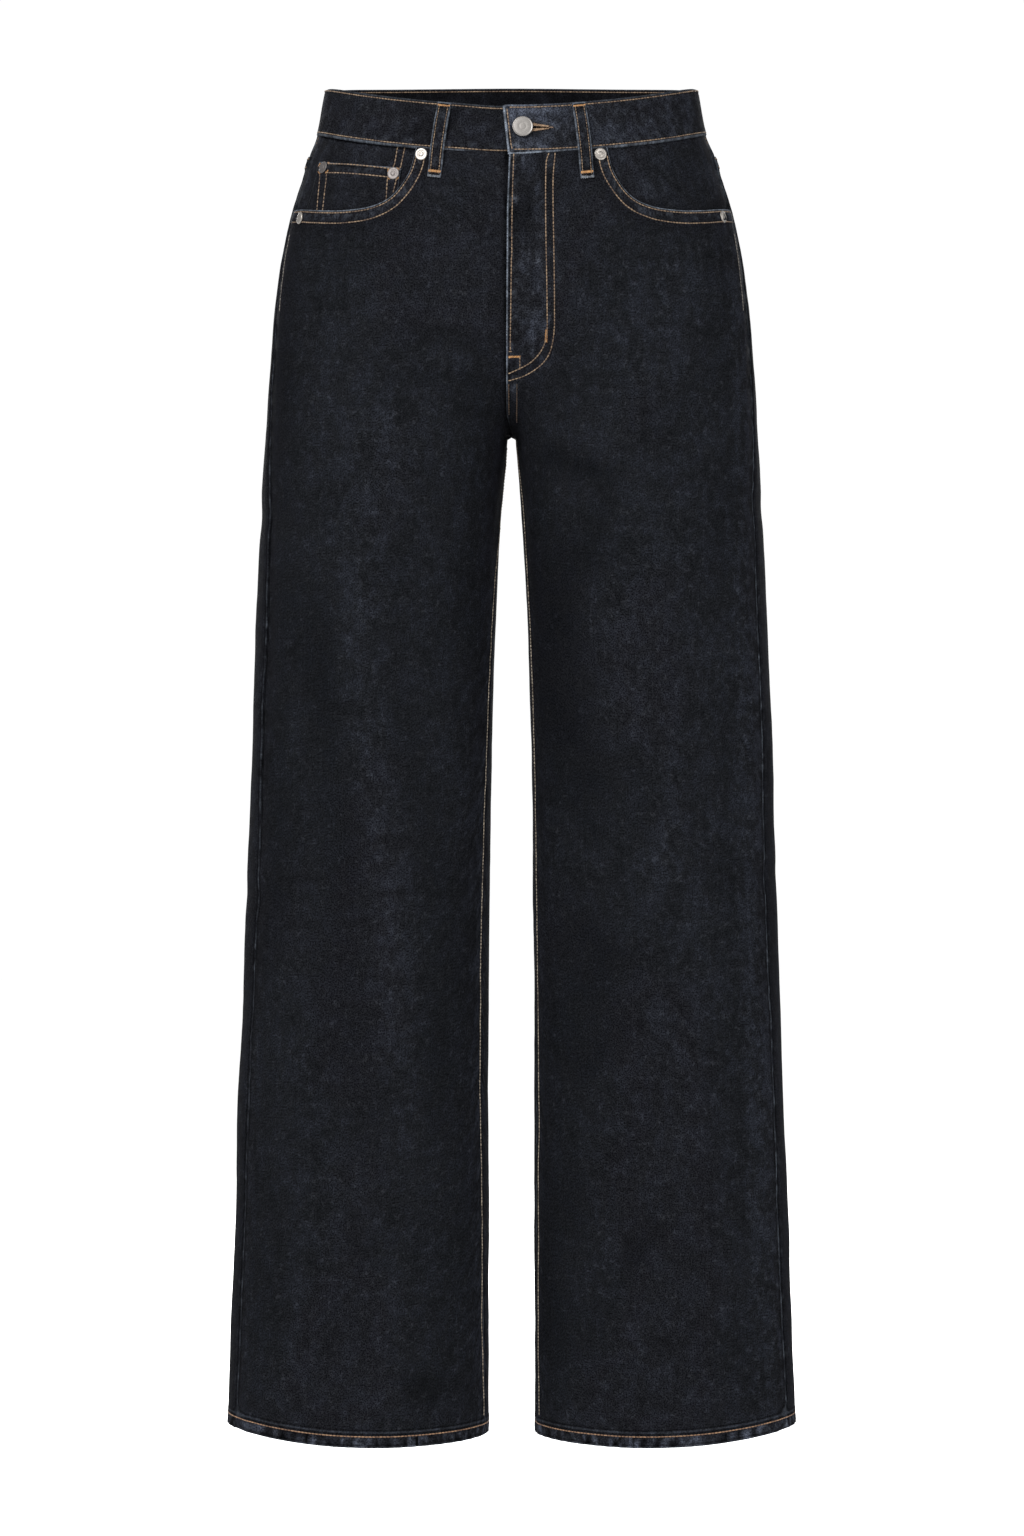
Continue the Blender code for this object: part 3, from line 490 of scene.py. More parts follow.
HEIGHTS = np.arange(45.0, -1081.0, -1.0) * MM
UNDER_CROTCH = HEIGHTS <= CROTCH_Z + SEAM
OUTSEAM = u_where_x(profile(HEIGHTS, "side") - profile(HEIGHTS, "outseam"), HEIGHTS, -0.6)
FRONT_INNER, BACK_INNER = {}, {}
FLY_LEAN = {1: np.interp(-HEIGHTS / MM, (62, 106, 205), (0.35, 0.95, 1.15)), -1: 1.0}
for half_side in (1, -1):
    fly_reach = FLY_REACH[half_side] * FLY_LEAN[half_side]
    fly_reach = fly_reach * smooth_step(FLY_LAP_END[1], FLY_LAP_END[0], HEIGHTS)
    at_centre = np.where(fly_reach > 0, front_u(SEAM / 2 - fly_reach, HEIGHTS), -1.0)
    FRONT_INNER[half_side] = np.where(UNDER_CROTCH, inseam_u(half_side, HEIGHTS, -1.0, SEAM / 2), at_centre)
    BACK_INNER[half_side] = np.where(UNDER_CROTCH, inseam_u(half_side, HEIGHTS, 1.0, -SEAM / 2), 1.0)


def at_height(table, z):
    return np.interp(-np.asarray(z), -HEIGHTS, table)


def front_panel_u(side, share, z):
    return mix(at_height(OUTSEAM, z), at_height(FRONT_INNER[side], z), share)


def back_panel_u(side, share, z):
    return mix(at_height(OUTSEAM, z), at_height(BACK_INNER[side], z), share)


def front_share(side, x, z):
    outer = at_height(OUTSEAM, z)
    return (front_u(x, z) - outer) / (at_height(FRONT_INNER[side], z) - outer)


# ------------------------------------------------------------------ creases

def folds(side, u, z, face):
    """Height of the listed creases of one face, in metres."""
    where = form(u, z)
    x, height = where[..., 0] / MM, z / MM
    strokes = FRONT_FOLDS if face == "front" else BACK_FOLDS
    total = np.zeros(np.shape(x))
    outseam = at_height(OUTSEAM, z)
    round_it = (u - outseam) * ROUND_MM
    for table, across in ((strokes, x), (SIDE_FOLDS, round_it)):
        for stroke_side, half_width, tall, line in table:
            if stroke_side != side:
                continue
            away, share = off_line(across, height, line)
            ends = smooth_step(0.0, 0.3, share) * smooth_step(1.0, 0.7, share)
            wander = 1 + 0.25 * soft_noise(int(half_width * 10) + 7, share * 5, tall)
            swell = 0.85 * tall * wander * bell(away, 1.25 * half_width) * (0.15 + 0.85 * ends)
            if table is SIDE_FOLDS:
                swell = swell * bell(round_it, 45.0)
            total = total + swell
    return total * MM


def painted_front_shading(side, u, z):
    """How much paler or darker the front is, from its painted light and shade."""
    where = form(u, z)
    x, height = where[..., 0] / MM, z / MM
    total = np.zeros(np.shape(x))
    for shade_side, half_width, tone, line in FRONT_PAINTED_SHADING:
        if shade_side == side:
            away, share = off_line(x, height, line)
            ragged = 1 + 0.35 * soft_noise(int(half_width) + 3, x / 14, height / 22)
            ends = smooth_step(0.0, 0.15, share) * smooth_step(1.0, 0.85, share)
            total = total + tone * bell(away, half_width * ragged) * (0.4 + 0.6 * ends)
    return total


def crumple(side, u, z):
    """Small unevenness of washed cloth, in metres."""
    seed = 11 if side > 0 else 23
    across, down = u * ROUND_MM, z / MM
    broad = 0.65 * soft_noise(seed, across / 42, down / 80)
    middle = 0.30 * soft_noise(seed + 1, across / 17 + down / 90, down / 30)
    fine = 0.10 * soft_noise(seed + 2, across / 6, down / 9)
    return (broad + middle + fine) * MM


def relief(side, u, z, face):
    return folds(side, u, z, face) + crumple(side, u, z)


def pucker(seed, away, along, reach, tall):
    """Small waves beside a row of stitches, in metres."""
    wave = soft_noise(seed, along / (4.6 * MM), away / (20 * MM))
    return tall * wave * bell(away, reach)


# ------------------------------------------------------------------ meshes

def new_object(name, mesh):
    piece = bpy.data.objects.new(name, mesh)
    bpy.context.scene.collection.objects.link(piece)
    return piece


def store(mesh, name, values, kind="FLOAT"):
    attribute = mesh.attributes.new(name, kind, "POINT")
    field = "vector" if kind == "FLOAT_VECTOR" else "value"
    attribute.data.foreach_set(field, np.asarray(values, np.float32).ravel())


def shell(name, outer, inner, across, down, edge, rub, fade, materials):
    """One closed wall of cloth between two grids of points, with a rounded rim.

    across and down are metres on the flat cloth, edge is the distance to the nearest worn edge, rub is
    how worn that edge is, and fade is how much paler or darker the cloth is there, from its fading
    and from painted light and shade.
    """
    rows, columns = outer.shape[:2]
    count = rows * columns
    index = np.arange(count).reshape(rows, columns)
    rim = [(0, column) for column in range(columns)]
    rim += [(row, columns - 1) for row in range(1, rows)]
    rim += [(rows - 1, column) for column in range(columns - 2, -1, -1)]
    rim += [(row, 0) for row in range(rows - 2, 0, -1)]
    rim_row, rim_column = np.array(rim).T
    outer_rim, inner_rim = outer[rim_row, rim_column], inner[rim_row, rim_column]
    away = outer_rim - outer[np.clip(rim_row, 1, rows - 2), np.clip(rim_column, 1, columns - 2)]
    away /= np.maximum(np.linalg.norm(away, axis=1, keepdims=True), 1e-9)
    wall = outer_rim - inner_rim
    bulge = 0.3 * np.linalg.norm(wall, axis=1, keepdims=True)
    middle = outer_rim - wall / 2 + away * bulge
    points = np.vstack((outer.reshape(-1, 3), inner.reshape(-1, 3), middle))
    quads = np.stack((index[:-1, :-1], index[:-1, 1:], index[1:, 1:], index[1:, :-1]), axis=-1).reshape(-1, 4)
    here = index[rim_row, rim_column]
    after = np.roll(here, -1)
    band = 2 * count + np.arange(len(rim))
    band_after = np.roll(band, -1)
    upper = np.stack((here, band, band_after, after), axis=-1)
    lower = np.stack((band, here + count, after + count, band_after), axis=-1)
    faces = np.vstack((quads, quads[:, ::-1] + count, upper, lower))
    corners = points[quads]
    facing = np.cross(corners[:, 2] - corners[:, 0], corners[:, 3] - corners[:, 1])
    wall_all = (outer - inner).reshape(-1, 3)[quads[:, 0]]
    if (facing * wall_all).sum() < 0:
        faces = faces[:, ::-1]
    mesh = bpy.data.meshes.new(name)
    mesh.vertices.add(len(points))
    mesh.vertices.foreach_set("co", points.astype(np.float32).ravel())
    mesh.loops.add(faces.size)
    mesh.loops.foreach_set("vertex_index", faces.ravel().astype(np.int32))
    mesh.polygons.add(len(faces))
    mesh.polygons.foreach_set("loop_start", np.arange(0, faces.size, 4, dtype=np.int32))
    slots = np.zeros(len(faces), np.int32)
    slots[len(quads):2 * len(quads)] = 1
    mesh.polygons.foreach_set("material_index", slots)
    mesh.polygons.foreach_set("use_smooth", np.ones(len(faces), bool))
    mesh.update(calc_edges=True)

    def everywhere(values):
        values = np.broadcast_to(values, (rows, columns))
        return np.concatenate((values.ravel(), values.ravel(), values[rim_row, rim_column]))

    flat = np.stack((everywhere(across), everywhere(down)), axis=-1)
    layer = mesh.uv_layers.new(name="flat_cloth")
    layer.data.foreach_set("uv", flat[faces.ravel()].astype(np.float32).ravel())
    store(mesh, "edge", everywhere(edge))
    store(mesh, "rub", everywhere(rub))
    store(mesh, "fade", everywhere(fade))
    for material in materials:
        mesh.materials.append(material)
    mesh.validate()
    return new_object(name, mesh)


def surfaces(side, u, z, lift, thickness):
    """The outer and inner faces of a wall of cloth on the form."""
    spots, out = form(u, z), outward(u, z)
    outer = spots + out * np.asarray(lift)[..., None]
    inner = outer - out * np.broadcast_to(thickness, np.shape(z))[..., None]
    return mirrored(side, outer), mirrored(side, inner)


def close_centre(z, *faces):
    """The left side's centre edge tucks past the right one's, so that no light shows through the seam."""
    above_crotch = z[:, -1] > CROTCH_Z - CROTCH_WEB - 0.05 * MM
    for points in faces:
        points[above_crotch, -1, 0] -= TUCK


def flat_sizes(points):
    """Metres across and down a grid of points on the form, as the cloth lay before it was sewn."""
    across = np.zeros(points.shape[:2])
    across[:, 1:] = np.cumsum(np.linalg.norm(np.diff(points, axis=1), axis=-1), axis=1)
    down = np.zeros(points.shape[:2])
    down[1:] = np.cumsum(np.linalg.norm(np.diff(points, axis=0), axis=-1), axis=0)
    return across, down - points[0, :, 2]


def flat_cloth(side, u, z):
    """Points of the plain form, and metres across and down the cloth at each."""
    plain = mirrored(side, form(u, z))
    return (plain, *flat_sizes(plain))


def nearest_edge(*edges):
    """The nearest of several worn edges, given as pairs of distance and wear."""
    distances = np.stack(np.broadcast_arrays(*[away for away, _ in edges]))
    wears = np.stack([np.broadcast_to(wear, distances.shape[1:]) for _, wear in edges])
    nearest = distances.argmin(axis=0)
    distance, wear = (np.take_along_axis(stack, nearest[None], axis=0)[0] for stack in (distances, wears))
    return np.minimum(distance, FAR), wear


# ------------------------------------------------------------------ materials

def give(tree, socket, value):
    """Link a socket to another one's output, or set it to a plain value."""
    if isinstance(value, bpy.types.NodeSocket):
        tree.links.new(value, socket)
    else:
        socket.default_value = value


def node(tree, kind, inputs=None, **settings):
    made = tree.nodes.new(kind)
    for name, value in settings.items():
        setattr(made, name, value)
    for name, value in (inputs or {}).items():
        give(tree, made.inputs[name], value)
    return made


def named(sockets, identifier):
    return next(socket for socket in sockets if socket.identifier == identifier)


def sums(tree, operation, first, second=0.0, third=0.0, clamp=False):
    made = node(tree, "ShaderNodeMath", {0: first, 1: second, 2: third}, operation=operation, use_clamp=clamp)
    return made.outputs[0]


def ramp(tree, value, low, high, to_low=0.0, to_high=1.0, smooth=True):
    made = node(tree, "ShaderNodeMapRange", {"Value": value, "From Min": low, "From Max": high,
                                             "To Min": to_low, "To Max": to_high},
                interpolation_type="SMOOTHSTEP" if smooth else "LINEAR")
    return made.outputs["Result"]


def blend(tree, share, first, second, mode="MIX"):
    made = node(tree, "ShaderNodeMix", data_type="RGBA", blend_type=mode)
    for name, value in (("Factor_Float", share), ("A_Color", first), ("B_Color", second)):
        give(tree, named(made.inputs, name), value)
    return named(made.outputs, "Result_Color")


def noise(tree, vector, scale=1.0, detail=2.0, roughness=0.5):
    settings = {"Vector": vector, "Scale": scale, "Detail": detail, "Roughness": roughness}
    return node(tree, "ShaderNodeTexNoise", settings).outputs["Fac"]


def painted(tree, name):
    """The values that the pieces store under a name."""
    return node(tree, "ShaderNodeAttribute", attribute_name=name, attribute_type="GEOMETRY").outputs["Fac"]


def scaled(tree, across, down, wide, tall, depth=0.0):
    """The flat cloth's own coordinates, in units of wide by tall metres."""
    made = node(tree, "ShaderNodeCombineXYZ", {"X": sums(tree, "MULTIPLY", across, 1 / wide),
                                               "Y": sums(tree, "MULTIPLY", down, 1 / tall), "Z": depth})
    return made.outputs[0]


def grey(value):
    return (value, value, value, 1.0)


def dented(tree, shader, strength, deep, height):
    bump = node(tree, "ShaderNodeBump", {"Strength": strength, "Distance": deep, "Height": height})
    tree.links.new(bump.outputs["Normal"], shader.inputs["Normal"])


def started(name, roughness, specular=0.5, metallic=0.0):
    material = bpy.data.materials.new(name)
    material.use_nodes = True
    tree = material.node_tree
    shader = tree.nodes["Principled BSDF"]
    shader.inputs["Roughness"].default_value = roughness
    shader.inputs["Specular IOR Level"].default_value = specular
    shader.inputs["Metallic"].default_value = metallic
    return material, tree, shader


def denim(name, warp, weft, worn, weft_share, strength):
    """Blue-black twill: dark warp over a paler weft, flecked, slubby, faded and rubbed pale at its edges,
    with painted light and shade from the pieces and a painted shade along the stitch lines.
    """
    material, tree, shader = started(name, 0.9, specular=0.008)
    flat = node(tree, "ShaderNodeTexCoord").outputs["UV"]
    parts = node(tree, "ShaderNodeSeparateXYZ", {"Vector": flat})
    across, down = parts.outputs["X"], parts.outputs["Y"]
    edge, rub, fade = (painted(tree, stored) for stored in ("edge", "rub", "fade"))

    def cloth_noise(wide, tall, depth, detail=1.0, roughness=0.5):
        return noise(tree, scaled(tree, across, down, wide * MM, tall * MM, depth), 1.0, detail, roughness)

    wobble = cloth_noise(4.0, 6.0, 0.0)
    phase = sums(tree, "ADD", sums(tree, "MULTIPLY", across, TURN / TWILL_PITCH[0]),
                 sums(tree, "MULTIPLY", down, TURN / TWILL_PITCH[1]))
    phase = sums(tree, "ADD", phase, sums(tree, "MULTIPLY", wobble, 3.5))
    twill = sums(tree, "MULTIPLY_ADD", sums(tree, "SINE", phase), 0.5, 0.5)
    grain = cloth_noise(1.0, 1.2, 3.0)
    slub = cloth_noise(1.6, 24, 5.0, 2.0, 0.6)
    mottle = cloth_noise(5.5, 7.0, 1.0, 2.0, 0.65)
    patch = cloth_noise(15, 21, 8.0, 2.0, 0.6)
    cloud = cloth_noise(48, 80, 2.0, 1.0)
    curl = cloth_noise(4.2, 4.2, 11.0)

    # How much of the weft shows through the warp
    shown = sums(tree, "MULTIPLY_ADD", twill, 0.42, 0.56)
    shown = sums(tree, "MULTIPLY", ramp(tree, grain, 0.27, 0.72), shown)
    fibre = ramp(tree, sums(tree, "ABSOLUTE", sums(tree, "SUBTRACT", curl, 0.5)), 0.030, 0.010)
    fibre = sums(tree, "MULTIPLY", fibre, ramp(tree, mottle, 0.50, 0.62))
    shown = sums(tree, "MULTIPLY_ADD", fibre, 0.55, shown)
    shown = sums(tree, "MULTIPLY", shown, weft_share)
    bluer = (weft[0] * 0.98, weft[1], weft[2] * 1.06, 1)
    colour = blend(tree, shown, warp, blend(tree, ramp(tree, patch, 0.42, 0.60), weft, bluer))

    # How pale the washed cloth is there, with the light and shade painted into fade
    tone = -0.42
    for pattern, weight in ((slub, 0.45), (mottle, 0.95), (patch, 1.00), (cloud, 0.45)):
        tone = sums(tree, "MULTIPLY_ADD", pattern, weight, tone)
    patches_of_fade_and_shade = sums(tree, "MULTIPLY_ADD", patch, 0.5, sums(tree, "MULTIPLY", mottle, 0.5))
    tone = sums(tree, "MULTIPLY_ADD", fade, ramp(tree, patches_of_fade_and_shade, 0.42, 0.58, 0.40, 1.60), tone)
    tone = sums(tree, "MAXIMUM", tone, 0.15)
    # A painted shade along the stitch lines, where the cloth sinks
    groove = sums(tree, "ABSOLUTE", sums(tree, "SUBTRACT", edge, EDGE_STITCH))
    tone = sums(tree, "MULTIPLY", tone, ramp(tree, groove, 0.3 * MM, 1.1 * MM, 0.55, 1.0))
    paler = sums(tree, "MAXIMUM", sums(tree, "SUBTRACT", tone, 1.0), 0.0)
    green = sums(tree, "MULTIPLY_ADD", paler, 0.07, tone)
    blue = sums(tree, "MULTIPLY_ADD", paler, 0.14, tone)
    tinted = node(tree, "ShaderNodeCombineXYZ", {"X": tone, "Y": green, "Z": blue}).outputs[0]
    colour = blend(tree, 1.0, colour, tinted, "MULTIPLY")

    # A pale broken line along each worn edge, and a fainter halo beside it
    ragged = cloth_noise(1.1, 1.1, 7.0, 2.0, 0.6)
    worn_edge = sums(tree, "MULTIPLY_ADD", ragged, 1.2 * MM, edge)
    line = ramp(tree, ragged, 0.40, 0.62, 0.40, 1.0)
    line = sums(tree, "MULTIPLY", ramp(tree, worn_edge, 1.6 * MM, 0.9 * MM), line)
    line = sums(tree, "MULTIPLY", line, ramp(tree, mottle, 0.36, 0.60, 0.40, 1.0))
    halo = ramp(tree, mottle, 0.48, 0.64, 0.0, 0.08)
    halo = sums(tree, "MULTIPLY", ramp(tree, worn_edge, 10.5 * MM, 2 * MM), halo)
    rubbed = sums(tree, "MULTIPLY", sums(tree, "MAXIMUM", line, halo), rub, clamp=True)
    colour = blend(tree, rubbed, colour, worn)
    tree.links.new(colour, shader.inputs["Base Color"])
    tree.links.new(sums(tree, "MULTIPLY_ADD", mottle, 0.12, 0.82), shader.inputs["Roughness"])
    height = sums(tree, "MULTIPLY_ADD", twill, 0.6, sums(tree, "MULTIPLY", grain, 0.7))
    height = sums(tree, "ADD", height, sums(tree, "MULTIPLY", slub, 0.5))
    dented(tree, shader, strength, 0.18 * MM, height)
    return material


def thread(name, deep, pale, roughness=0.62):
    """Sewing thread, each stitch its own tone, with the ply showing across it and a painted shade at its
    ends.
    """
    material, tree, shader = started(name, roughness, specular=0.25)
    place = node(tree, "ShaderNodeTexCoord").outputs["Object"]
    strand = noise(tree, place, 2600.0, 2.0)
    patch = noise(tree, place, 60.0, 1.0)
    share = sums(tree, "MULTIPLY_ADD", strand, 0.5, sums(tree, "MULTIPLY", painted(tree, "tone"), 0.6))
    share = sums(tree, "ADD", share, sums(tree, "MULTIPLY_ADD", patch, 0.9, -0.50))
    # A painted shade at each stitch's ends, where it sinks into the cloth
    dark_tip = ramp(tree, painted(tree, "tip"), 0.45, 1.0, 0.0, 0.6)
    share = sums(tree, "SUBTRACT", share, dark_tip, clamp=True)
    tree.links.new(blend(tree, share, deep, pale), shader.inputs["Base Color"])
    dented(tree, shader, 0.4, 0.1 * MM, strand)
    return material


def metal(name, colour, dull, roughness, beaten=0.25):
    """Nickelled metal with small dull spots, and dents where it is beaten."""
    material, tree, shader = started(name, roughness, metallic=1.0)
    place = node(tree, "ShaderNodeTexCoord").outputs["Object"]
    spots = noise(tree, place, 700.0, 3.0, 0.65)
    cloud = noise(tree, place, 180.0, 2.0)
    share = sums(tree, "MULTIPLY", ramp(tree, spots, 0.5, 0.75), ramp(tree, cloud, 0.35, 0.65, 0.3, 1.0))
    tree.links.new(blend(tree, share, colour, dull), shader.inputs["Base Color"])
    tree.links.new(sums(tree, "MULTIPLY_ADD", spots, 0.25, roughness - 0.1), shader.inputs["Roughness"])
    dented(tree, shader, beaten, 0.1 * MM, spots)
    return material


DENIM = denim("blue_black_denim", (0.0013, 0.0013, 0.0019, 1), (0.0113, 0.0121, 0.0142, 1),
              (0.135, 0.156, 0.186, 1), 0.85, 0.5)
# A darker copy of the denim on the inner faces of the waistband, the loops and the fly underlap: painted
# shade, for the shadow inside them
SHADED_INSIDE_DENIM = denim("unworn_denim_inside", (0.0013, 0.0013, 0.0018, 1), (0.0055, 0.0058, 0.0068, 1),
               (0.020, 0.022, 0.028, 1), 0.85, 0.4)
REVERSE = denim("denim_reverse", (0.010, 0.011, 0.013, 1), (0.060, 0.062, 0.068, 1),
                (0.08, 0.09, 0.11, 1), 1.0, 0.5)
TAN_THREAD = thread("tan_topstitch_thread", (0.026, 0.014, 0.008, 1), (0.155, 0.107, 0.066, 1))
SEAM_THREAD = thread("grey_beige_seam_thread", (0.030, 0.023, 0.016, 1), (0.215, 0.180, 0.140, 1))
HIP_THREAD = thread("worn_seam_thread", (0.022, 0.019, 0.016, 1), (0.108, 0.096, 0.082, 1))
HEM_THREAD = thread("russet_hem_thread", (0.050, 0.024, 0.012, 1), (0.185, 0.108, 0.060, 1))
BROWN_THREAD = thread("brown_seam_thread", (0.008, 0.006, 0.005, 1), (0.050, 0.029, 0.016, 1))
BUTTONHOLE_THREAD = thread("buttonhole_twist", (0.055, 0.030, 0.016, 1), (0.235, 0.155, 0.092, 1))
COPPER_THREAD = thread("copper_bartack_thread", (0.12, 0.055, 0.018, 1), (0.34, 0.175, 0.062, 1))
PALE_FIBRE = thread("frayed_fibre", (0.03, 0.034, 0.042, 1), (0.20, 0.21, 0.22, 1), 0.8)
BUTTON_STEEL = metal("satin_button_steel", (0.166, 0.157, 0.148, 1), (0.12, 0.115, 0.11, 1), 0.40)
RIVET_STEEL = metal("satin_rivet_steel", (0.196, 0.182, 0.166, 1), (0.10, 0.088, 0.080, 1), 0.42)
HAMMERED_STEEL = metal("hammered_rivet_steel", (0.096, 0.087, 0.084, 1), (0.044, 0.040, 0.039, 1), 0.50, 1.0)
CLOTH_FACES = (DENIM, REVERSE)
# The denim outside, and the darker painted-shade copy on the inner faces
DENIM_WITH_SHADED_INSIDE = (DENIM, SHADED_INSIDE_DENIM)


# ------------------------------------------------------------------ panels

def corner_z():
    """The height at which the pocket mouth meets the waistband."""
    return float(band_bottom(front_u(POCKET_CORNER_X, -60 * MM)))


def mouth_line(side):
    """The pocket mouth from the outseam to the waistband, as shares of the panel, and as x and z."""
    outer_x = float(form(at_height(OUTSEAM, POCKET_SIDE_Z), POCKET_SIDE_Z)[0])
    line = [(outer_x, POCKET_SIDE_Z)] + [(x * MM, z * MM) for x, z in POCKET_EDGE]
    line.append((POCKET_CORNER_X, corner_z()))
    smooth = curve_through(line, COLUMN)
    shares = front_share(side, smooth[:, 0], smooth[:, 1])
    shares[0] = 0.0
    return np.maximum.accumulate(shares + np.arange(len(shares)) * 1e-5), smooth


def leg_levels(start, first):
    """Heights from the first level down to just above the hem."""
    levels = list(np.arange(first, start, -3.4 * MM))
    rise = [start - (start - CROTCH_Z) * math.sin(math.radians(turn)) for turn in np.arange(0, 90.1, 1.875)]
    below = [CROTCH_Z - step * MM for step in CROTCH_ROWS]
    return np.array(levels + rise + below + list(np.arange(-290 * MM, -1024 * MM, -ROW)))


def panel_heights(heads, levels, bottoms, top_rows):
    """Heights of every row of a leg panel: from its heads, down its levels, through the hem."""
    shares = np.linspace(0, 1, top_rows, endpoint=False) ** 1.15
    top = mix(heads, levels[0], shares[:, None])
    middle = np.repeat(levels[:, None], len(heads), axis=1)
    above_hem = mix(levels[-1], bottoms + HEM_HEIGHT + 1.4 * MM, np.array(((0.34,), (0.67,), (1.0,))))
    hem = bottoms + np.array(HEM_ROWS)[:, None] * MM
    return np.vstack((top, middle, above_hem, hem))


def hem_relief(seed, above, along):
    """Roping: the folded hem twists into slanting ribs."""
    drift = 0.9 * soft_noise(seed, along / (30 * MM), 0.5)
    drift = drift + 0.35 * soft_noise(seed + 1, along / (9 * MM), 0.5)
    rib = np.sin(TURN * (along / (10.5 * MM) + above / (26 * MM)) + 2.2 * drift)
    uneven = 0.65 + 0.35 * soft_noise(seed + 2, along / (18 * MM), 3.5)
    inside = smooth_step(HEM_STITCH, HEM_STITCH - 2 * MM, above)
    return rib * uneven * inside


def leg_panel(name, side, face, panel_u, shares, heads, levels, top_rows, extra):
    """A front or a back panel, with its seams, hem and creases. extra adds what only one of them has."""
    bottoms = hem_z(panel_u(side, shares, HEM_Z["front"]))
    z = panel_heights(heads, levels, bottoms, top_rows)
    u = panel_u(side, shares[None, :], z)
    plain, across, down = flat_cloth(side, u, z)
    from_out, from_in = across, across[:, -1:] - across
    above = np.maximum(0.0, z - bottoms)
    in_hem = smooth_step(HEM_HEIGHT + 0.3 * MM, HEM_HEIGHT - 0.5 * MM, above)
    creases = folds(side, u, z, face)
    calm = smooth_step(0.0, 14 * MM, above)
    lift = creases * (0.25 + 0.75 * calm) + crumple(side, u, z) * (0.3 + 0.7 * calm)
    seed = 40 + 10 * side + (3 if face == "front" else 0)
    ridge = 0.42 * MM * smooth_step(10.5 * MM, 8.5 * MM, from_out)
    groove = -0.75 * MM * bell(from_out, 1.1 * MM)
    lift += (ridge + groove + pucker(seed, from_out, z, 9 * MM, 0.30 * MM)) * (1 - 0.5 * in_hem)
    leg = smooth_step(CROTCH_Z - 4 * MM, CROTCH_Z - 30 * MM, z)
    felled = 0.45 * MM * smooth_step(8.2 * MM, 6.6 * MM, from_in) if face == "front" else 0.0
    groove = -0.7 * MM * bell(from_in, 1.0 * MM)
    lift += leg * (felled + groove + pucker(seed + 1, from_in, z, 9 * MM, 0.26 * MM)) * (1 - 0.5 * in_hem)
    rope = hem_relief(seed + 2, above, from_out)
    ribs = soft_noise(seed + 6, from_out / (1.5 * MM), above / (12 * MM))
    ribs = ribs * smooth_step(HEM_STITCH, HEM_STITCH - MM, above)
    lift += in_hem * (0.18 * MM + 0.50 * MM * rope)
    lift += -0.22 * MM * bell(above - HEM_STITCH, 0.8 * MM)
    lift += 0.10 * MM * bell(above - HEM_HEIGHT + 1 * MM, 1.6 * MM)
    lift += pucker(seed + 3, np.abs(above - HEM_HEIGHT), from_out, 9 * MM, 0.22 * MM) * (1 - in_hem)
    thickness = CLOTH + (HEM_CLOTH - CLOTH) * in_hem
    # Painted light and shade from the creases: paler on their ridges, darker in their troughs
    fade = np.clip(creases / (3.4 * MM), -1, 1) * 0.26
    worn_ribs = 0.95 * rope + 1.3 * np.maximum(rope, 0) ** 2 + 1.5 * ribs + 3.2 * np.maximum(ribs, 0) ** 2
    fade += in_hem * (0.30 + worn_ribs)
    # A painted shade along the hem's lower edge, where it turns under
    fade -= 0.7 * bell(above, 1.1 * MM)
    imprint = np.clip(0.25 + 1.2 * soft_noise(seed + 4, from_out / (9 * MM), 0.5), 0, 1)
    fade += 0.60 * imprint * bell(above - HEM_STITCH - 3.2 * MM, 1.0 * MM)
    fade -= 0.35 * bell(above - HEM_STITCH - 1.7 * MM, 0.7 * MM)
    if face == "front":
        # painted light and shade on the front, in broad soft streaks
        fade += painted_front_shading(side, u, z) * calm
        if side > 0:
            fade += 0.28 * smooth_step(36 * MM, 24 * MM, from_out)
        else:
            fade -= 0.12 * bell(from_out / MM - 22, 12)
    fade += leg * (0.30 if side < 0 else 0.16) * smooth_step(22 * MM, 8 * MM, from_in)
    specks = np.clip(0.5 + 1.4 * soft_noise(seed + 5, z / (4 * MM), 0.5), 0, 2)
    edges = [
        (from_out, (0.14 if side < 0 else 0.26) * specks),
        (from_in + (1 - leg) * NEVER, 0.16),
        (above, 0.12),
        (np.abs(above - HEM_HEIGHT + 0.6 * MM), 0.06),
    ]
    lift, fade, edges = extra(u, z, plain, from_out, from_in, lift, fade, edges)
    edge, rub = nearest_edge(*edges)
    outer, inner = surfaces(side, u, z, lift, thickness)
    if side > 0:
        close_centre(z, outer, inner)
    sense = -side if face == "front" else side
    return shell(name, outer, inner, sense * across, down, edge, rub, fade, CLOTH_FACES)


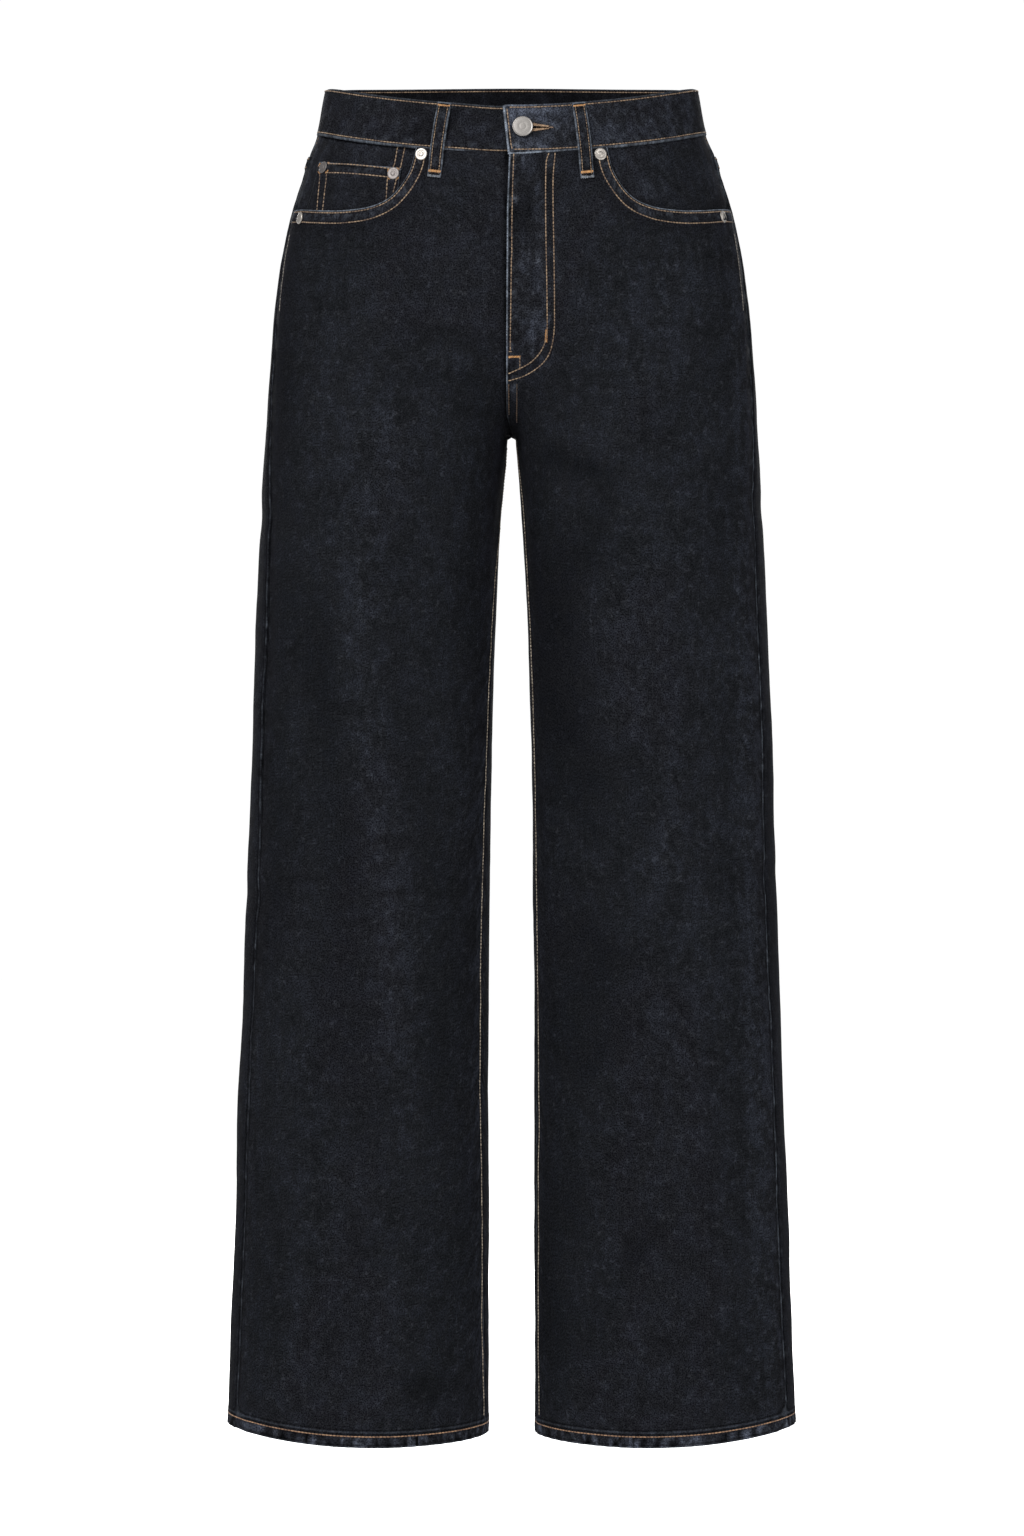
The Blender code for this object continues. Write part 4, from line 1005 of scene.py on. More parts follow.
def front_extra(side, mouth_columns):
    """What only a front has: its pocket mouth, its half of the fly and the centre seam below it."""
    def extra(u, z, plain, from_out, from_in, lift, fade, edges):
        mouth = plain[0, :mouth_columns]
        near_rows = np.nonzero((z > -152 * MM).any(axis=1))[0]
        gaps = np.linalg.norm(plain[near_rows][:, :, None, :] - mouth[None, None], axis=-1)
        away = np.full(z.shape, FAR)
        away[near_rows] = gaps.min(axis=2)
        along = np.zeros(z.shape)
        along[near_rows] = lengths(mouth)[gaps.argmin(axis=2)]
        lift = lift + 0.55 * MM * smooth_step(10.5 * MM, 8.5 * MM, away)
        lift = lift - 0.25 * MM * bell(away - EDGE_STITCH, 0.8 * MM)
        lift = lift + pucker(70 + side, np.abs(away - 9 * MM), along, 5.5 * MM, 0.30 * MM)
        fade = fade + 0.18 * smooth_step(9.5 * MM, 7.5 * MM, away)
        fade = fade - 0.20 * bell(away - 13 * MM, 5 * MM)
        rise = smooth_step(FLY_LAP_END[1] - 10 * MM, FLY_LAP_END[0], z)
        below_fly = smooth_step(CROTCH_Z - 2 * MM, CROTCH_Z + 12 * MM, z) * (1 - rise)
        if side > 0:
            lift = lift + rise * 0.85 * MM * smooth_step(16 * MM, 2 * MM, from_in)
            lift = lift + below_fly * 0.40 * MM * smooth_step(9 * MM, 7 * MM, from_in)
            fly = smooth_step(38 * MM, 30 * MM, from_in) * smooth_step(-236 * MM, -218 * MM, z)
            waves = soft_noise(91, from_in / (5.5 * MM), z / (38 * MM))
            lift = lift + fly * 0.34 * MM * waves
            streaks = smooth_step(0.25, 0.8, soft_noise(92, from_in / (3.2 * MM), z / (24 * MM)))
            fade = fade + fly * (0.10 + 0.75 * waves + 1.25 * streaks)
            lift = lift + pucker(93, np.abs(from_in - 33 * MM), z, 5 * MM, 0.28 * MM) * rise
            fly_wear = 0.14 + 0.58 * smooth_step(-247 * MM, -232 * MM, z)
            edges = edges + [(from_in + (1 - rise) * 2.4 * MM, fly_wear)]
        else:
            lift = lift - rise * 0.95 * MM * smooth_step(9 * MM, 4 * MM, from_in)
            # A painted shadow of the left front's fly edge on the right front: a dark line beside it, and a
            # shade fading away from it
            fade = fade - 0.65 * (rise + below_fly) * bell(from_in - 7.4 * MM, 1.7 * MM)
            fade = fade - (rise + below_fly) * 0.30 * smooth_step(16 * MM, 5 * MM, from_in)
        # A painted shade round the crotch, near the centre seam
        crotch = bell(z - CROTCH_Z, 22 * MM) * smooth_step(34 * MM, 4 * MM, from_in)
        fade = fade - 0.30 * crotch
        edges = edges + [(np.where(away < FAR, away, NEVER), 0.66)]
        return lift, fade, edges

    return extra


def make_front(name, side):
    mouth_shares, mouth = mouth_line(side)
    count = int(round(78 * MM / COLUMN))
    waist_shares = mix(mouth_shares[-1], 1.0, np.arange(1, count + 1) / count)
    shares = np.concatenate((mouth_shares, waist_shares))
    waist_z = np.full(count, corner_z())
    for _ in range(3):
        waist_z = band_bottom(front_panel_u(side, waist_shares, waist_z))
    heads = np.concatenate((mouth[:, 1], waist_z))
    levels = leg_levels(RISE_START["front"], -126 * MM)
    extra = front_extra(side, len(mouth_shares))
    return leg_panel(name, side, "front", front_panel_u, shares, heads, levels, 20, extra)


def back_extra(side):
    """What only a back has: its lap over the yoke, and the seat seam."""
    def extra(u, z, plain, from_out, from_in, lift, fade, edges):
        from_head = yoke_z(u) + YOKE_LAP - z
        lift = lift + 0.75 * MM * smooth_step(11 * MM, 8.5 * MM, from_head)
        lift = lift - 0.25 * MM * bell(from_head - EDGE_STITCH, 0.8 * MM)
        lift = lift + pucker(80 + side, np.abs(from_head - 5 * MM), from_out, 7 * MM, 0.28 * MM)
        seat = smooth_step(CROTCH_Z - 2 * MM, CROTCH_Z + 14 * MM, z)
        if side > 0:
            lift = lift + seat * 0.45 * MM * smooth_step(9 * MM, 7 * MM, from_in)
        lift = lift + seat * (pucker(84, from_in, z, 9 * MM, 0.26 * MM)
                              - 0.6 * MM * bell(from_in, 1.0 * MM))
        fade = fade + 0.14 * bell(z + 215 * MM, 60 * MM) * bell(from_in - 80 * MM, 55 * MM)
        # A painted shade along the outseam, where the leg turns away
        fade = fade - 0.16 * smooth_step(18 * MM, 4 * MM, from_out)
        edges = edges + [(from_in + (1 - seat) * NEVER, 0.4), (from_head, 0.7)]
        return lift, fade, edges

    return extra


BACK_SHARES = np.linspace(0, 1, 98)


def make_back(name, side):
    heads = yoke_z(back_panel_u(side, BACK_SHARES, YOKE_SIDE_Z)) + YOKE_LAP
    levels = leg_levels(RISE_START["back"], -118 * MM)
    return leg_panel(name, side, "back", back_panel_u, BACK_SHARES, heads, levels, 14, back_extra(side))


def make_yoke(name, side):
    u = back_panel_u(side, BACK_SHARES, YOKE_SIDE_Z)
    z = mix(band_bottom(u) + 0.5 * MM, yoke_z(u), np.linspace(0, 1, 18)[:, None])
    u = back_panel_u(side, BACK_SHARES[None], z)
    _, across, down = flat_cloth(side, u, z)
    from_out, from_in, from_low = across, across[:, -1:] - across, z - yoke_z(u)
    lift = relief(side, u, z, "back") - 0.60 * MM * smooth_step(4 * MM, 0.0, from_low)
    lift += pucker(60 + side, from_low, from_out, 8 * MM, 0.25 * MM)
    lift += 0.42 * MM * smooth_step(10 * MM, 8 * MM, from_out)
    if side > 0:
        lift += 0.45 * MM * smooth_step(9 * MM, 7 * MM, from_in)
    lift -= 0.6 * MM * (bell(from_in, MM) + bell(from_out, MM))
    edge, rub = nearest_edge((from_out, 0.34), (from_in, 0.4))
    outer, inner = surfaces(side, u, z, lift, CLOTH)
    if side > 0:
        close_centre(z, outer, inner)
    # Painted light and shade from the creases and unevenness: paler where the cloth stands out, darker where
    # it sinks
    fade = relief(side, u, z, "back") / (9 * MM)
    return shell(name, outer, inner, side * across, down, edge, rub, fade, CLOTH_FACES)


# ------------------------------------------------------------------ pockets and underlap

def make_facing(name, side):
    shares, mouth = mouth_line(side)
    count = 6
    shares = np.concatenate((shares, shares[-1] + np.arange(1, count + 1) * 0.012))
    edge_z = np.concatenate((mouth[:, 1], np.full(count, mouth[-1, 1])))
    top = band_bottom(front_panel_u(side, shares, -50 * MM)) + 0.5 * MM
    bottom = np.minimum(edge_z, -82 * MM) - FACING_BELOW
    z = mix(top, bottom, np.linspace(0, 1, 34)[:, None])
    u = front_panel_u(side, shares[None], z)
    layers = 1.0 if side > 0 else 1.0 + smooth_step(0.0, 0.11, shares)
    depth = layers * (CLOTH + UNDERLAY_GAP)
    showing = smooth_step(1.5 * MM, 8 * MM, z - edge_z) * (1 - smooth_step(0.0, 0.10, shares))
    lift = -mix(depth, 0.35 * MM, showing) + 0.5 * crumple(side, u, z)
    _, across, down = flat_cloth(side, u, z)
    bags = soft_noise(140 + side, across / (26 * MM), down / (11 * MM))
    lift += 0.35 * MM * bags * smooth_step(3 * MM, 14 * MM, across)
    lift += pucker(150 + side, across, z, 8 * MM, 0.25 * MM)
    seam_mark = 0.55 * bell(across - 9 * MM, MM) - 0.40 * bell(across - 12.5 * MM, 2.2 * MM)
    # The bags' bulges painted paler, and a painted shade in the recess just above the pocket mouth
    shade = 0.12 + (1.0 if side < 0 else 0.5) * seam_mark + 0.20 * bags
    shade = shade - 0.25 * smooth_step(9 * MM, 0.0, z - edge_z)
    edge, rub = nearest_edge((across, 0.7))
    outer, inner = surfaces(side, u, z, lift, CLOTH)
    return shell(name, outer, inner, -side * across, down, edge, rub, shade, CLOTH_FACES)


def make_coin_pocket(name):
    side = -1
    level = mix(COIN_TOP_Z[0], COIN_TOP_Z[1], 0.5)
    ends = front_share(side, np.array(COIN_X), level)
    t = np.linspace(0, 1, 32)
    z = mix(mix(COIN_TOP_Z[0], COIN_TOP_Z[1], t)[None], COIN_BOTTOM_Z, np.linspace(0, 1, 30)[:, None])
    u = front_panel_u(side, mix(ends[0], ends[1], t)[None], z)
    _, across, down = flat_cloth(side, u, z)
    from_top = down - down[:1]
    from_out, from_in = across, across[:, -1:] - across
    lift = -(CLOTH + UNDERLAY_GAP) + 0.6 * crumple(side, u, z)
    lift += 0.45 * MM * smooth_step(11.5 * MM, 9.5 * MM, from_top)
    lift -= 0.2 * MM * bell(from_top - EDGE_STITCH, 0.7 * MM)
    lift -= 0.45 * MM * smooth_step(3.5 * MM, 0.0, np.minimum(from_out, from_in))
    lift += pucker(160, np.abs(from_out - 5 * MM), z, 6 * MM, 0.2 * MM)
    edge, rub = nearest_edge((from_top, 0.45), (from_out, 0.15), (from_in, 0.15))
    # Paler along the worn top; painted light and shade from the cloth's unevenness, paler where it stands out
    fade = 0.16 * smooth_step(11.5 * MM, 9.5 * MM, from_top) + crumple(side, u, z) / (6 * MM) - 0.03
    outer, inner = surfaces(side, u, z, lift, CLOTH)
    return shell(name, outer, inner, -side * across, down, edge, rub, fade, CLOTH_FACES)


def pocket_outline(t, row):
    """u and z across a back pocket at t from its outer to its inner edge, and row down it."""
    half = mix(BACK_POCKET_HALF[0], BACK_POCKET_HALF[1], row)
    across = mix(1.0, -1.0, t)
    top = mix(BACK_POCKET_TOP[1], BACK_POCKET_TOP[0], (across + 1) / 2)
    bottom = BACK_POCKET_CORNER_Z - BACK_POCKET_TIP * (1 - np.abs(across))
    z = mix(top, bottom, row)
    return back_u(BACK_POCKET_X + across * half, z), z


def make_back_pocket(name, side):
    t, row = np.meshgrid(np.linspace(0, 1, 47), np.linspace(0, 1, 46))
    u, z = pocket_outline(t, row)
    _, across, down = flat_cloth(side, u, z)
    from_top = down - down[:1]
    from_bottom = down[-1:] - down
    from_sides = np.minimum(across, across[:, -1:] - across)
    from_stitched = np.minimum(from_sides, from_bottom)
    lift = relief(side, u, z, "back") + 1.25 * MM
    lift += 1.1 * MM * smooth_step(2 * MM, 16 * MM, from_stitched)
    lift += 0.5 * MM * smooth_step(14.5 * MM, 12.5 * MM, from_top)
    lift -= 0.25 * MM * bell(from_top - EDGE_STITCH, 0.8 * MM)
    lift += pucker(170 + side, np.abs(from_stitched - 9 * MM), down + across, 5 * MM, 0.3 * MM)
    edge, rub = nearest_edge((from_top, 0.8), (from_stitched, 0.6))
    # Paler along the stitched edges, where they wear; painted light and shade from the creases and
    # unevenness, paler where the cloth stands out
    fade = 0.12 * smooth_step(9 * MM, 7 * MM, from_stitched) + relief(side, u, z, "back") / (9 * MM)
    outer, inner = surfaces(side, u, z, lift, CLOTH)
    return shell(name, outer, inner, side * across, down, edge, rub, fade, CLOTH_FACES)


def make_underlap(name):
    x = np.linspace(UNDERLAP_X[0], UNDERLAP_X[1], 16)
    top = band_bottom(front_u(x, -65 * MM)) + 0.5 * MM
    z = mix(top, UNDERLAP_LOW, np.linspace(0, 1, 44)[:, None])
    u = front_u(x[None], z)
    lift = -UNDERLAP_DEPTH + 0.4 * crumple(1, u, z)
    _, across, down = flat_cloth(1, u, z)
    edge, rub = nearest_edge((across, 0.5), (across[:, -1:] - across, 0.5))
    outer, inner = surfaces(1, u, z, lift, CLOTH)
    return shell(name, outer, inner, across, down, edge, rub, -0.05, DENIM_WITH_SHADED_INSIDE)


# ------------------------------------------------------------------ waistband and loops

def band_stations(edge):
    """Side, u and lift all round the waistband at one height, from its lapped end to its hidden end."""
    near_z = -FRONT_DIP - BAND_HEIGHT * edge
    start = float(front_u(mix(BAND_END_X[0], BAND_END_X[1], edge), near_z))
    last = float(front_u(-BAND_STEP_X[0], near_z))
    lapped = mix(start, -0.9, np.linspace(0, 1, 16, endpoint=False))
    left = np.concatenate((lapped, np.linspace(-0.9, 1.0, 150)))
    right = np.linspace(1.0, last, 140)[1:-1]
    step_x = np.linspace(BAND_STEP_X[0], BAND_STEP_X[1], 20)
    under_x = np.linspace(BAND_STEP_X[1], BAND_UNDER_X, 18)[1:]
    hidden = front_u(-np.concatenate((step_x, under_x)), near_z)
    stepping = smooth_step(BAND_STEP_X[0], BAND_STEP_X[1], step_x)
    dip = (BAND_CLOTH + LAP_GAP) * np.concatenate((stepping, np.ones(len(under_x))))
    u = np.concatenate((left, right, hidden))
    side = np.concatenate((np.ones(len(left)), -np.ones(len(right) + len(hidden))))
    return side, u, BAND_LIFT - np.concatenate((np.zeros(len(left) + len(right)), dip))


def make_waistband(name):
    offsets = np.array(BAND_ROWS) * MM
    stations = [band_stations(offset / BAND_HEIGHT) for offset in offsets]
    side = stations[0][0]
    u, lift = (np.stack([station[part] for station in stations]) for part in (1, 2))
    top = np.broadcast_to(offsets[:, None], u.shape)
    low = BAND_HEIGHT - top
    z = band_top(u) - top
    z -= 1.8 * MM * bell(u, 0.22) * (1 - top / BAND_HEIGHT)
    near_end = bell(np.arange(len(side)), 14.0)
    z -= 1.6 * MM * near_end * top / BAND_HEIGHT
    _, across, down = flat_cloth(side, u, z)
    crown = np.sin(math.pi * np.clip(top / BAND_HEIGHT, 0, 1))
    buckle = soft_noise(31, across / (34 * MM), top / (30 * MM))
    buckle = buckle + 0.5 * soft_noise(32, across / (13 * MM), top / (14 * MM))
    lift = lift + crown * (0.35 * MM + 0.42 * MM * buckle)
    for away, seed in ((top, 33), (low, 35)):
        lift -= 0.22 * MM * bell(away - EDGE_STITCH, 0.6 * MM)
        lift += pucker(seed, np.abs(away - EDGE_STITCH), across, 4.5 * MM, 0.24 * MM)
    lift += pucker(37, across, z, 5 * MM, 0.2 * MM)
    outer, inner = surfaces(side, u, z, lift, BAND_CLOTH)
    by_end = bell(across, 26 * MM)
    edge, rub = nearest_edge((top, 0.12 + 0.3 * by_end), (low, 0.36 + 0.64 * by_end), (across, 1.0))
    mottle = 0.26 * soft_noise(38, across / (9 * MM), top / (8 * MM))
    mottle = mottle + 0.16 * soft_noise(39, across / (4 * MM), top / (4 * MM))
    by_button = bell(across - 16 * MM, 32 * MM)
    by_left_loop = bell(across - 115 * MM, 60 * MM)
    # Painted light and shade where the band buckles, paler where it bulges; paler by the button and the left
    # loop, where it is worn
    fade = 0.06 + 0.24 * buckle * crown + by_button * (1.85 + 0.7 * buckle) + 0.36 * by_left_loop
    fade += 1.6 * bell(across - 11 * MM, 12 * MM) * smooth_step(15 * MM, 4 * MM, low)
    fade += mottle * (1 + 1.5 * by_button) + 0.9 * bell(across, 2.2 * MM)
    straight = np.broadcast_to(across[len(offsets) // 2], across.shape)
    return shell(name, outer, inner, straight, down, edge, rub, fade, DENIM_WITH_SHADED_INSIDE)


def cut_buttonhole(band):
    """A keyhole through the outer lap: a round eye for the shank and a slit beside it."""
    half_slit, eye_radius = 0.45 * MM, 2.6 * MM
    u = front_u(np.array((BUTTON_X, BUTTONHOLE_TIP_X)), BUTTON_Z)
    spots = form(u, BUTTON_Z) + outward(u, BUTTON_Z) * (BAND_LIFT - BAND_CLOTH)
    eye, tip = Vector(spots[0]), Vector(spots[1])
    along = (tip - eye).normalized()
    out = along.cross(Vector((0, 0, 1))).normalized()
    start = math.asin(half_slit / eye_radius)
    turns = np.linspace(start, TURN - start, 28)
    outline = [(eye_radius * math.cos(turn), eye_radius * math.sin(turn)) for turn in turns]
    length = (tip - eye).length
    outline += [(length, -half_slit), (length + 0.4 * MM, 0.0), (length, half_slit)]
    builder = bmesh.new()
    rings = [[builder.verts.new(eye + along * x + Vector((0, 0, z)) + out * depth) for x, z in outline]
             for depth in (-0.55 * MM, BAND_CLOTH + 3 * MM)]
    for number in range(len(outline)):
        after = (number + 1) % len(outline)
        builder.faces.new((rings[0][number], rings[0][after], rings[1][after], rings[1][number]))
    for ring in rings:
        builder.faces.new(ring)
    bmesh.ops.recalc_face_normals(builder, faces=builder.faces)
    mesh = bpy.data.meshes.new("buttonhole_cutter")
    builder.to_mesh(mesh)
    builder.free()
    mesh.materials.append(DENIM)
    cutter = new_object("buttonhole_cutter", mesh)
    cut = band.modifiers.new("buttonhole", "BOOLEAN")
    cut.operation, cut.solver, cut.object = "DIFFERENCE", "EXACT", cutter
    evaluated = band.evaluated_get(bpy.context.evaluated_depsgraph_get())
    cut_mesh = bpy.data.meshes.new_from_object(evaluated)
    band.modifiers.clear()
    band.data = cut_mesh
    bpy.data.objects.remove(cutter)
    corners = np.zeros(len(cut_mesh.vertices) * 3)
    cut_mesh.vertices.foreach_get("co", corners)
    from_eye = corners.reshape(-1, 3) - np.array(eye)
    x, height = from_eye @ np.array(along), from_eye[:, 2]
    depth = from_eye @ np.array(out)
    near = (x > -4 * MM) & (x < length + 2 * MM) & (np.abs(height) < 4 * MM) & (np.abs(depth) < 6 * MM)
    for attribute, value in (("edge", 0.012), ("rub", 0.3), ("fade", 0.1)):
        data = cut_mesh.attributes[attribute].data
        values = np.zeros(len(data), np.float32)
        data.foreach_get("value", values)
        values[near] = value
        data.foreach_set("value", values)


def make_loop(name, side, face, top_x, bottom_x, length):
    """A belt loop, and what places the stitches on it."""
    u_at = front_u if face == "front" else back_u
    guess = -40 * MM if face == "front" else 0.0
    top_z = float(band_top(u_at(top_x, guess))) - 0.5 * MM
    drop = math.sqrt(length ** 2 - (bottom_x - top_x) ** 2)
    tilt = (bottom_x - top_x) / length
    middle = np.linspace(0.055, 0.94, 42)
    along = np.concatenate(((0, 0.008, 0.02, 0.035), middle, (0.955, 0.968, 0.98, 0.992, 1.0)))[:, None]
    across = np.array((-0.5, -0.46, -0.40, -0.30, -0.18, -0.06, 0.06, 0.18, 0.30, 0.40, 0.46, 0.5))
    rise_curve = curve_through(np.array(LOOP_RISE) * (100, 1), 1.0)
    rise = np.interp(along * 100, rise_curve[:, 0], rise_curve[:, 1]) * MM
    z = top_z - drop * along + across * LOOP_WIDTH * tilt
    x = mix(top_x, bottom_x, along) + across * LOOP_WIDTH
    u = u_at(x, z)
    from_side = (0.5 - np.abs(across)) * LOOP_WIDTH
    from_end = np.minimum(along, 1 - along) * length
    seed = 200 + int(abs(top_x) / MM) + side
    lift = rise + LOOP_CLOTH + 0.3 * MM * np.cos(math.pi * across)
    lift = lift - 0.3 * MM * bell(from_end - 2.0 * MM, 1.4 * MM)
    lift = lift + 0.12 * MM * soft_noise(seed, across * 2, along * 16)
    edge, rub = nearest_edge((from_side, 0.42), (from_end, 0.5))
    fade = 0.14 * soft_noise(seed + 1, across, along * 9) + 0.08
    outer, inner = surfaces(side, u, z, lift, LOOP_CLOTH)
    piece = shell(name, outer, inner, across * LOOP_WIDTH, along * length, edge, rub, fade, DENIM_WITH_SHADED_INSIDE)
    return piece, (top_x, bottom_x, top_z, drop, tilt, u_at, side)


# ------------------------------------------------------------------ hardware

def turned(name, centre, axis, outline, material, steps=48):
    """A solid of revolution: outline is (radius, height) from the axis round to the axis."""
    turn = Vector(axis).to_track_quat("Z", "Y").to_matrix().to_4x4()
    builder = bmesh.new()
    circle = [(math.cos(TURN * step / steps), math.sin(TURN * step / steps)) for step in range(steps)]
    rings = []
    for radius, height in outline:
        spots = circle if radius else [(0, 0)]
        rings.append([builder.verts.new((radius * x, radius * y, height)) for x, y in spots])
    for lower, upper in zip(rings, rings[1:]):
        for step in range(steps):
            after = (step + 1) % steps
            if len(lower) == 1:
                builder.faces.new((lower[0], upper[after], upper[step]))
            elif len(upper) == 1:
                builder.faces.new((lower[step], lower[after], upper[0]))
            else:
                builder.faces.new((lower[step], lower[after], upper[after], upper[step]))
    bmesh.ops.recalc_face_normals(builder, faces=builder.faces)
    bmesh.ops.transform(builder, matrix=Matrix.Translation(Vector(centre)) @ turn, verts=builder.verts)
    mesh = bpy.data.meshes.new(name)
    builder.to_mesh(mesh)
    builder.free()
    mesh.materials.append(material)
    mesh.shade_smooth()
    mesh.set_sharp_from_angle(angle=math.radians(50))
    return new_object(name, mesh)


BUTTON_FACE = (  # share of the radius, and mm above the head's back
    (0.84, 0), (0.95, 0.35), (1, 1.05), (0.992, 1.6), (0.968, 1.95), (0.935, 2.05), (0.905, 1.94),
    (0.885, 1.80), (0.84, 1.84), (0.6, 1.92), (0.40, 1.96), (0.37, 1.93), (0.31, 1.93), (0.28, 1.96),
    (0.12, 1.99), (0, 1.99),
)
RIVET_FACE = (  # share of the radius, and mm above the foot, the rim or the well
    (0, "foot", 0), (0.93, "foot", 0), (0.985, "foot", 0.18), (1, "foot", 0.45), (0.975, "foot", 0.75),
    (0.92, "rim", -0.08), (0.84, "rim", 0), (0.70, "rim", -0.06), (0.60, "well", 0.10), (0.52, "well", 0),
    (0.40, "well", 0), (0.33, "well", 0.22), (0.24, "well", 0.40), (0.12, "well", 0.30), (0, "well", 0.14),
)


def make_button(name):
    u = float(front_u(BUTTON_X, BUTTON_Z))
    out = outward(u, BUTTON_Z)
    head = BAND_LIFT + 0.9 * MM
    foot = BAND_LIFT - BAND_CLOTH - LAP_GAP + SEAM
    shank = [(0, foot), (2.1 * MM, foot), (2.1 * MM, head)]
    outline = shank + [(share * BUTTON_RADIUS, head + rise * MM) for share, rise in BUTTON_FACE]
    return turned(name, form(u, BUTTON_Z), out, outline, BUTTON_STEEL, 64)


def make_rivet(name, side, x, z, seat):
    """A domed ring round a sunk well. The side ones lean outwards, and the coin pocket's are flatter."""
    u = float(front_u(x, z))
    out = mirrored(side, outward(u, z))
    on_coin = name.startswith("rivet_coin")
    foot = seat + 0.35 * MM
    levels = {"foot": foot, "rim": foot + 1.05 * MM, "well": foot + 0.82 * MM}
    if "side" in name:
        out, levels["rim"] = out + np.array((0.24 * side, 0, 0)), levels["rim"] + 0.25 * MM
    if on_coin:
        levels.update(rim=foot + 0.95 * MM, well=foot + 0.80 * MM)
    outline = [(share * RIVET_RADIUS, levels[level] + rise * MM) for share, level, rise in RIVET_FACE]
    steel = HAMMERED_STEEL if on_coin else RIVET_STEEL
    return turned(name, mirrored(side, form(u, z)), out, outline, steel)


# ------------------------------------------------------------------ stitches

def thread_row_tree():
    """Rows of stitches along lines: one thread on each point, in the line's direction."""
    tree = bpy.data.node_groups.new("thread_row", "GeometryNodeTree")
    sockets = tree.interface
    sockets.new_socket("Lines", in_out="INPUT", socket_type="NodeSocketGeometry")
    for label in ("Pitch", "Length", "Radius", "Turn", "Spread", "Unevenness"):
        sockets.new_socket(label, in_out="INPUT", socket_type="NodeSocketFloat")
    sockets.new_socket("Sides", in_out="INPUT", socket_type="NodeSocketInt")
    sockets.new_socket("Thread", in_out="INPUT", socket_type="NodeSocketMaterial")
    sockets.new_socket("Stitches", in_out="OUTPUT", socket_type="NodeSocketGeometry")
    given = tree.nodes.new("NodeGroupInput").outputs
    lines = node(tree, "GeometryNodeMeshToCurve", {"Mesh": given["Lines"]}).outputs["Curve"]
    spaced = node(tree, "GeometryNodeResampleCurve", {"Curve": lines, "Length": given["Pitch"]},
                  mode="LENGTH").outputs["Curve"]
    tangent = node(tree, "GeometryNodeInputTangent").outputs["Tangent"]
    facing = node(tree, "GeometryNodeInputNamedAttribute", {"Name": "facing"},
                  data_type="FLOAT_VECTOR").outputs["Attribute"]
    aligned = node(tree, "FunctionNodeAxesToRotation", {"Primary Axis": facing, "Secondary Axis": tangent},
                   primary_axis="Z", secondary_axis="X").outputs["Rotation"]

    def random(low, high, seed):
        made = node(tree, "FunctionNodeRandomValue", data_type="FLOAT")
        for identifier, value in (("Min_001", low), ("Max_001", high), ("Seed", seed)):
            give(tree, named(made.inputs, identifier), value)
        return named(made.outputs, "Value_001")

    away = sums(tree, "MULTIPLY", given["Spread"], -1.0)
    angle = sums(tree, "ADD", given["Turn"], random(away, given["Spread"], 1))
    swing = node(tree, "FunctionNodeAxisAngleToRotation", {"Axis": (0, 0, 1), "Angle": angle})
    turned_to = node(tree, "FunctionNodeRotateRotation",
                     {"Rotation": aligned, "Rotate By": swing.outputs["Rotation"]},
                     rotation_space="LOCAL").outputs["Rotation"]
    rings = node(tree, "GeometryNodeMeshUVSphere", {"Segments": given["Sides"], "Rings": 4, "Radius": 1.0})
    half_length = sums(tree, "MULTIPLY", given["Length"], 0.5)
    size = node(tree, "ShaderNodeCombineXYZ", {"X": given["Radius"], "Y": given["Radius"], "Z": half_length})
    strand = node(tree, "GeometryNodeTransform",
                  {"Geometry": rings.outputs["Mesh"], "Scale": size.outputs[0]})
    place = node(tree, "GeometryNodeInputPosition").outputs["Position"]
    up = node(tree, "ShaderNodeSeparateXYZ", {"Vector": place}).outputs["Z"]
    tip = sums(tree, "DIVIDE", sums(tree, "ABSOLUTE", up), half_length)

    def stored(geometry, name, value, domain):
        made = node(tree, "GeometryNodeStoreNamedAttribute",
                    {"Geometry": geometry, "Name": name, "Value": value}, data_type="FLOAT", domain=domain)
        return made.outputs[0]

    tipped = stored(strand.outputs["Geometry"], "tip", tip, "POINT")
    lying = node(tree, "GeometryNodeTransform", {"Geometry": tipped, "Rotation": (0, math.pi / 2, 0)})
    shorter = sums(tree, "SUBTRACT", 1.0, given["Unevenness"])
    stretch = node(tree, "ShaderNodeCombineXYZ", {"X": random(shorter, 1.0, 2), "Y": 1.0, "Z": 1.0})
    placed = node(tree, "GeometryNodeInstanceOnPoints", {
        "Points": spaced, "Instance": lying.outputs["Geometry"],
        "Rotation": turned_to, "Scale": stretch.outputs[0],
    }).outputs[0]
    toned = stored(placed, "tone", random(0.0, 1.0, 3), "INSTANCE")
    real = node(tree, "GeometryNodeRealizeInstances", {"Geometry": toned}).outputs[0]
    smooth = node(tree, "GeometryNodeSetShadeSmooth", {"Geometry": real}).outputs[0]
    dyed = node(tree, "GeometryNodeSetMaterial", {"Geometry": smooth, "Material": given["Thread"]}).outputs[0]
    tree.links.new(dyed, tree.nodes.new("NodeGroupOutput").inputs["Stitches"])
    return tree


THREAD_ROW = thread_row_tree()
extras = []                  # the sewn rows, which the solids don't have


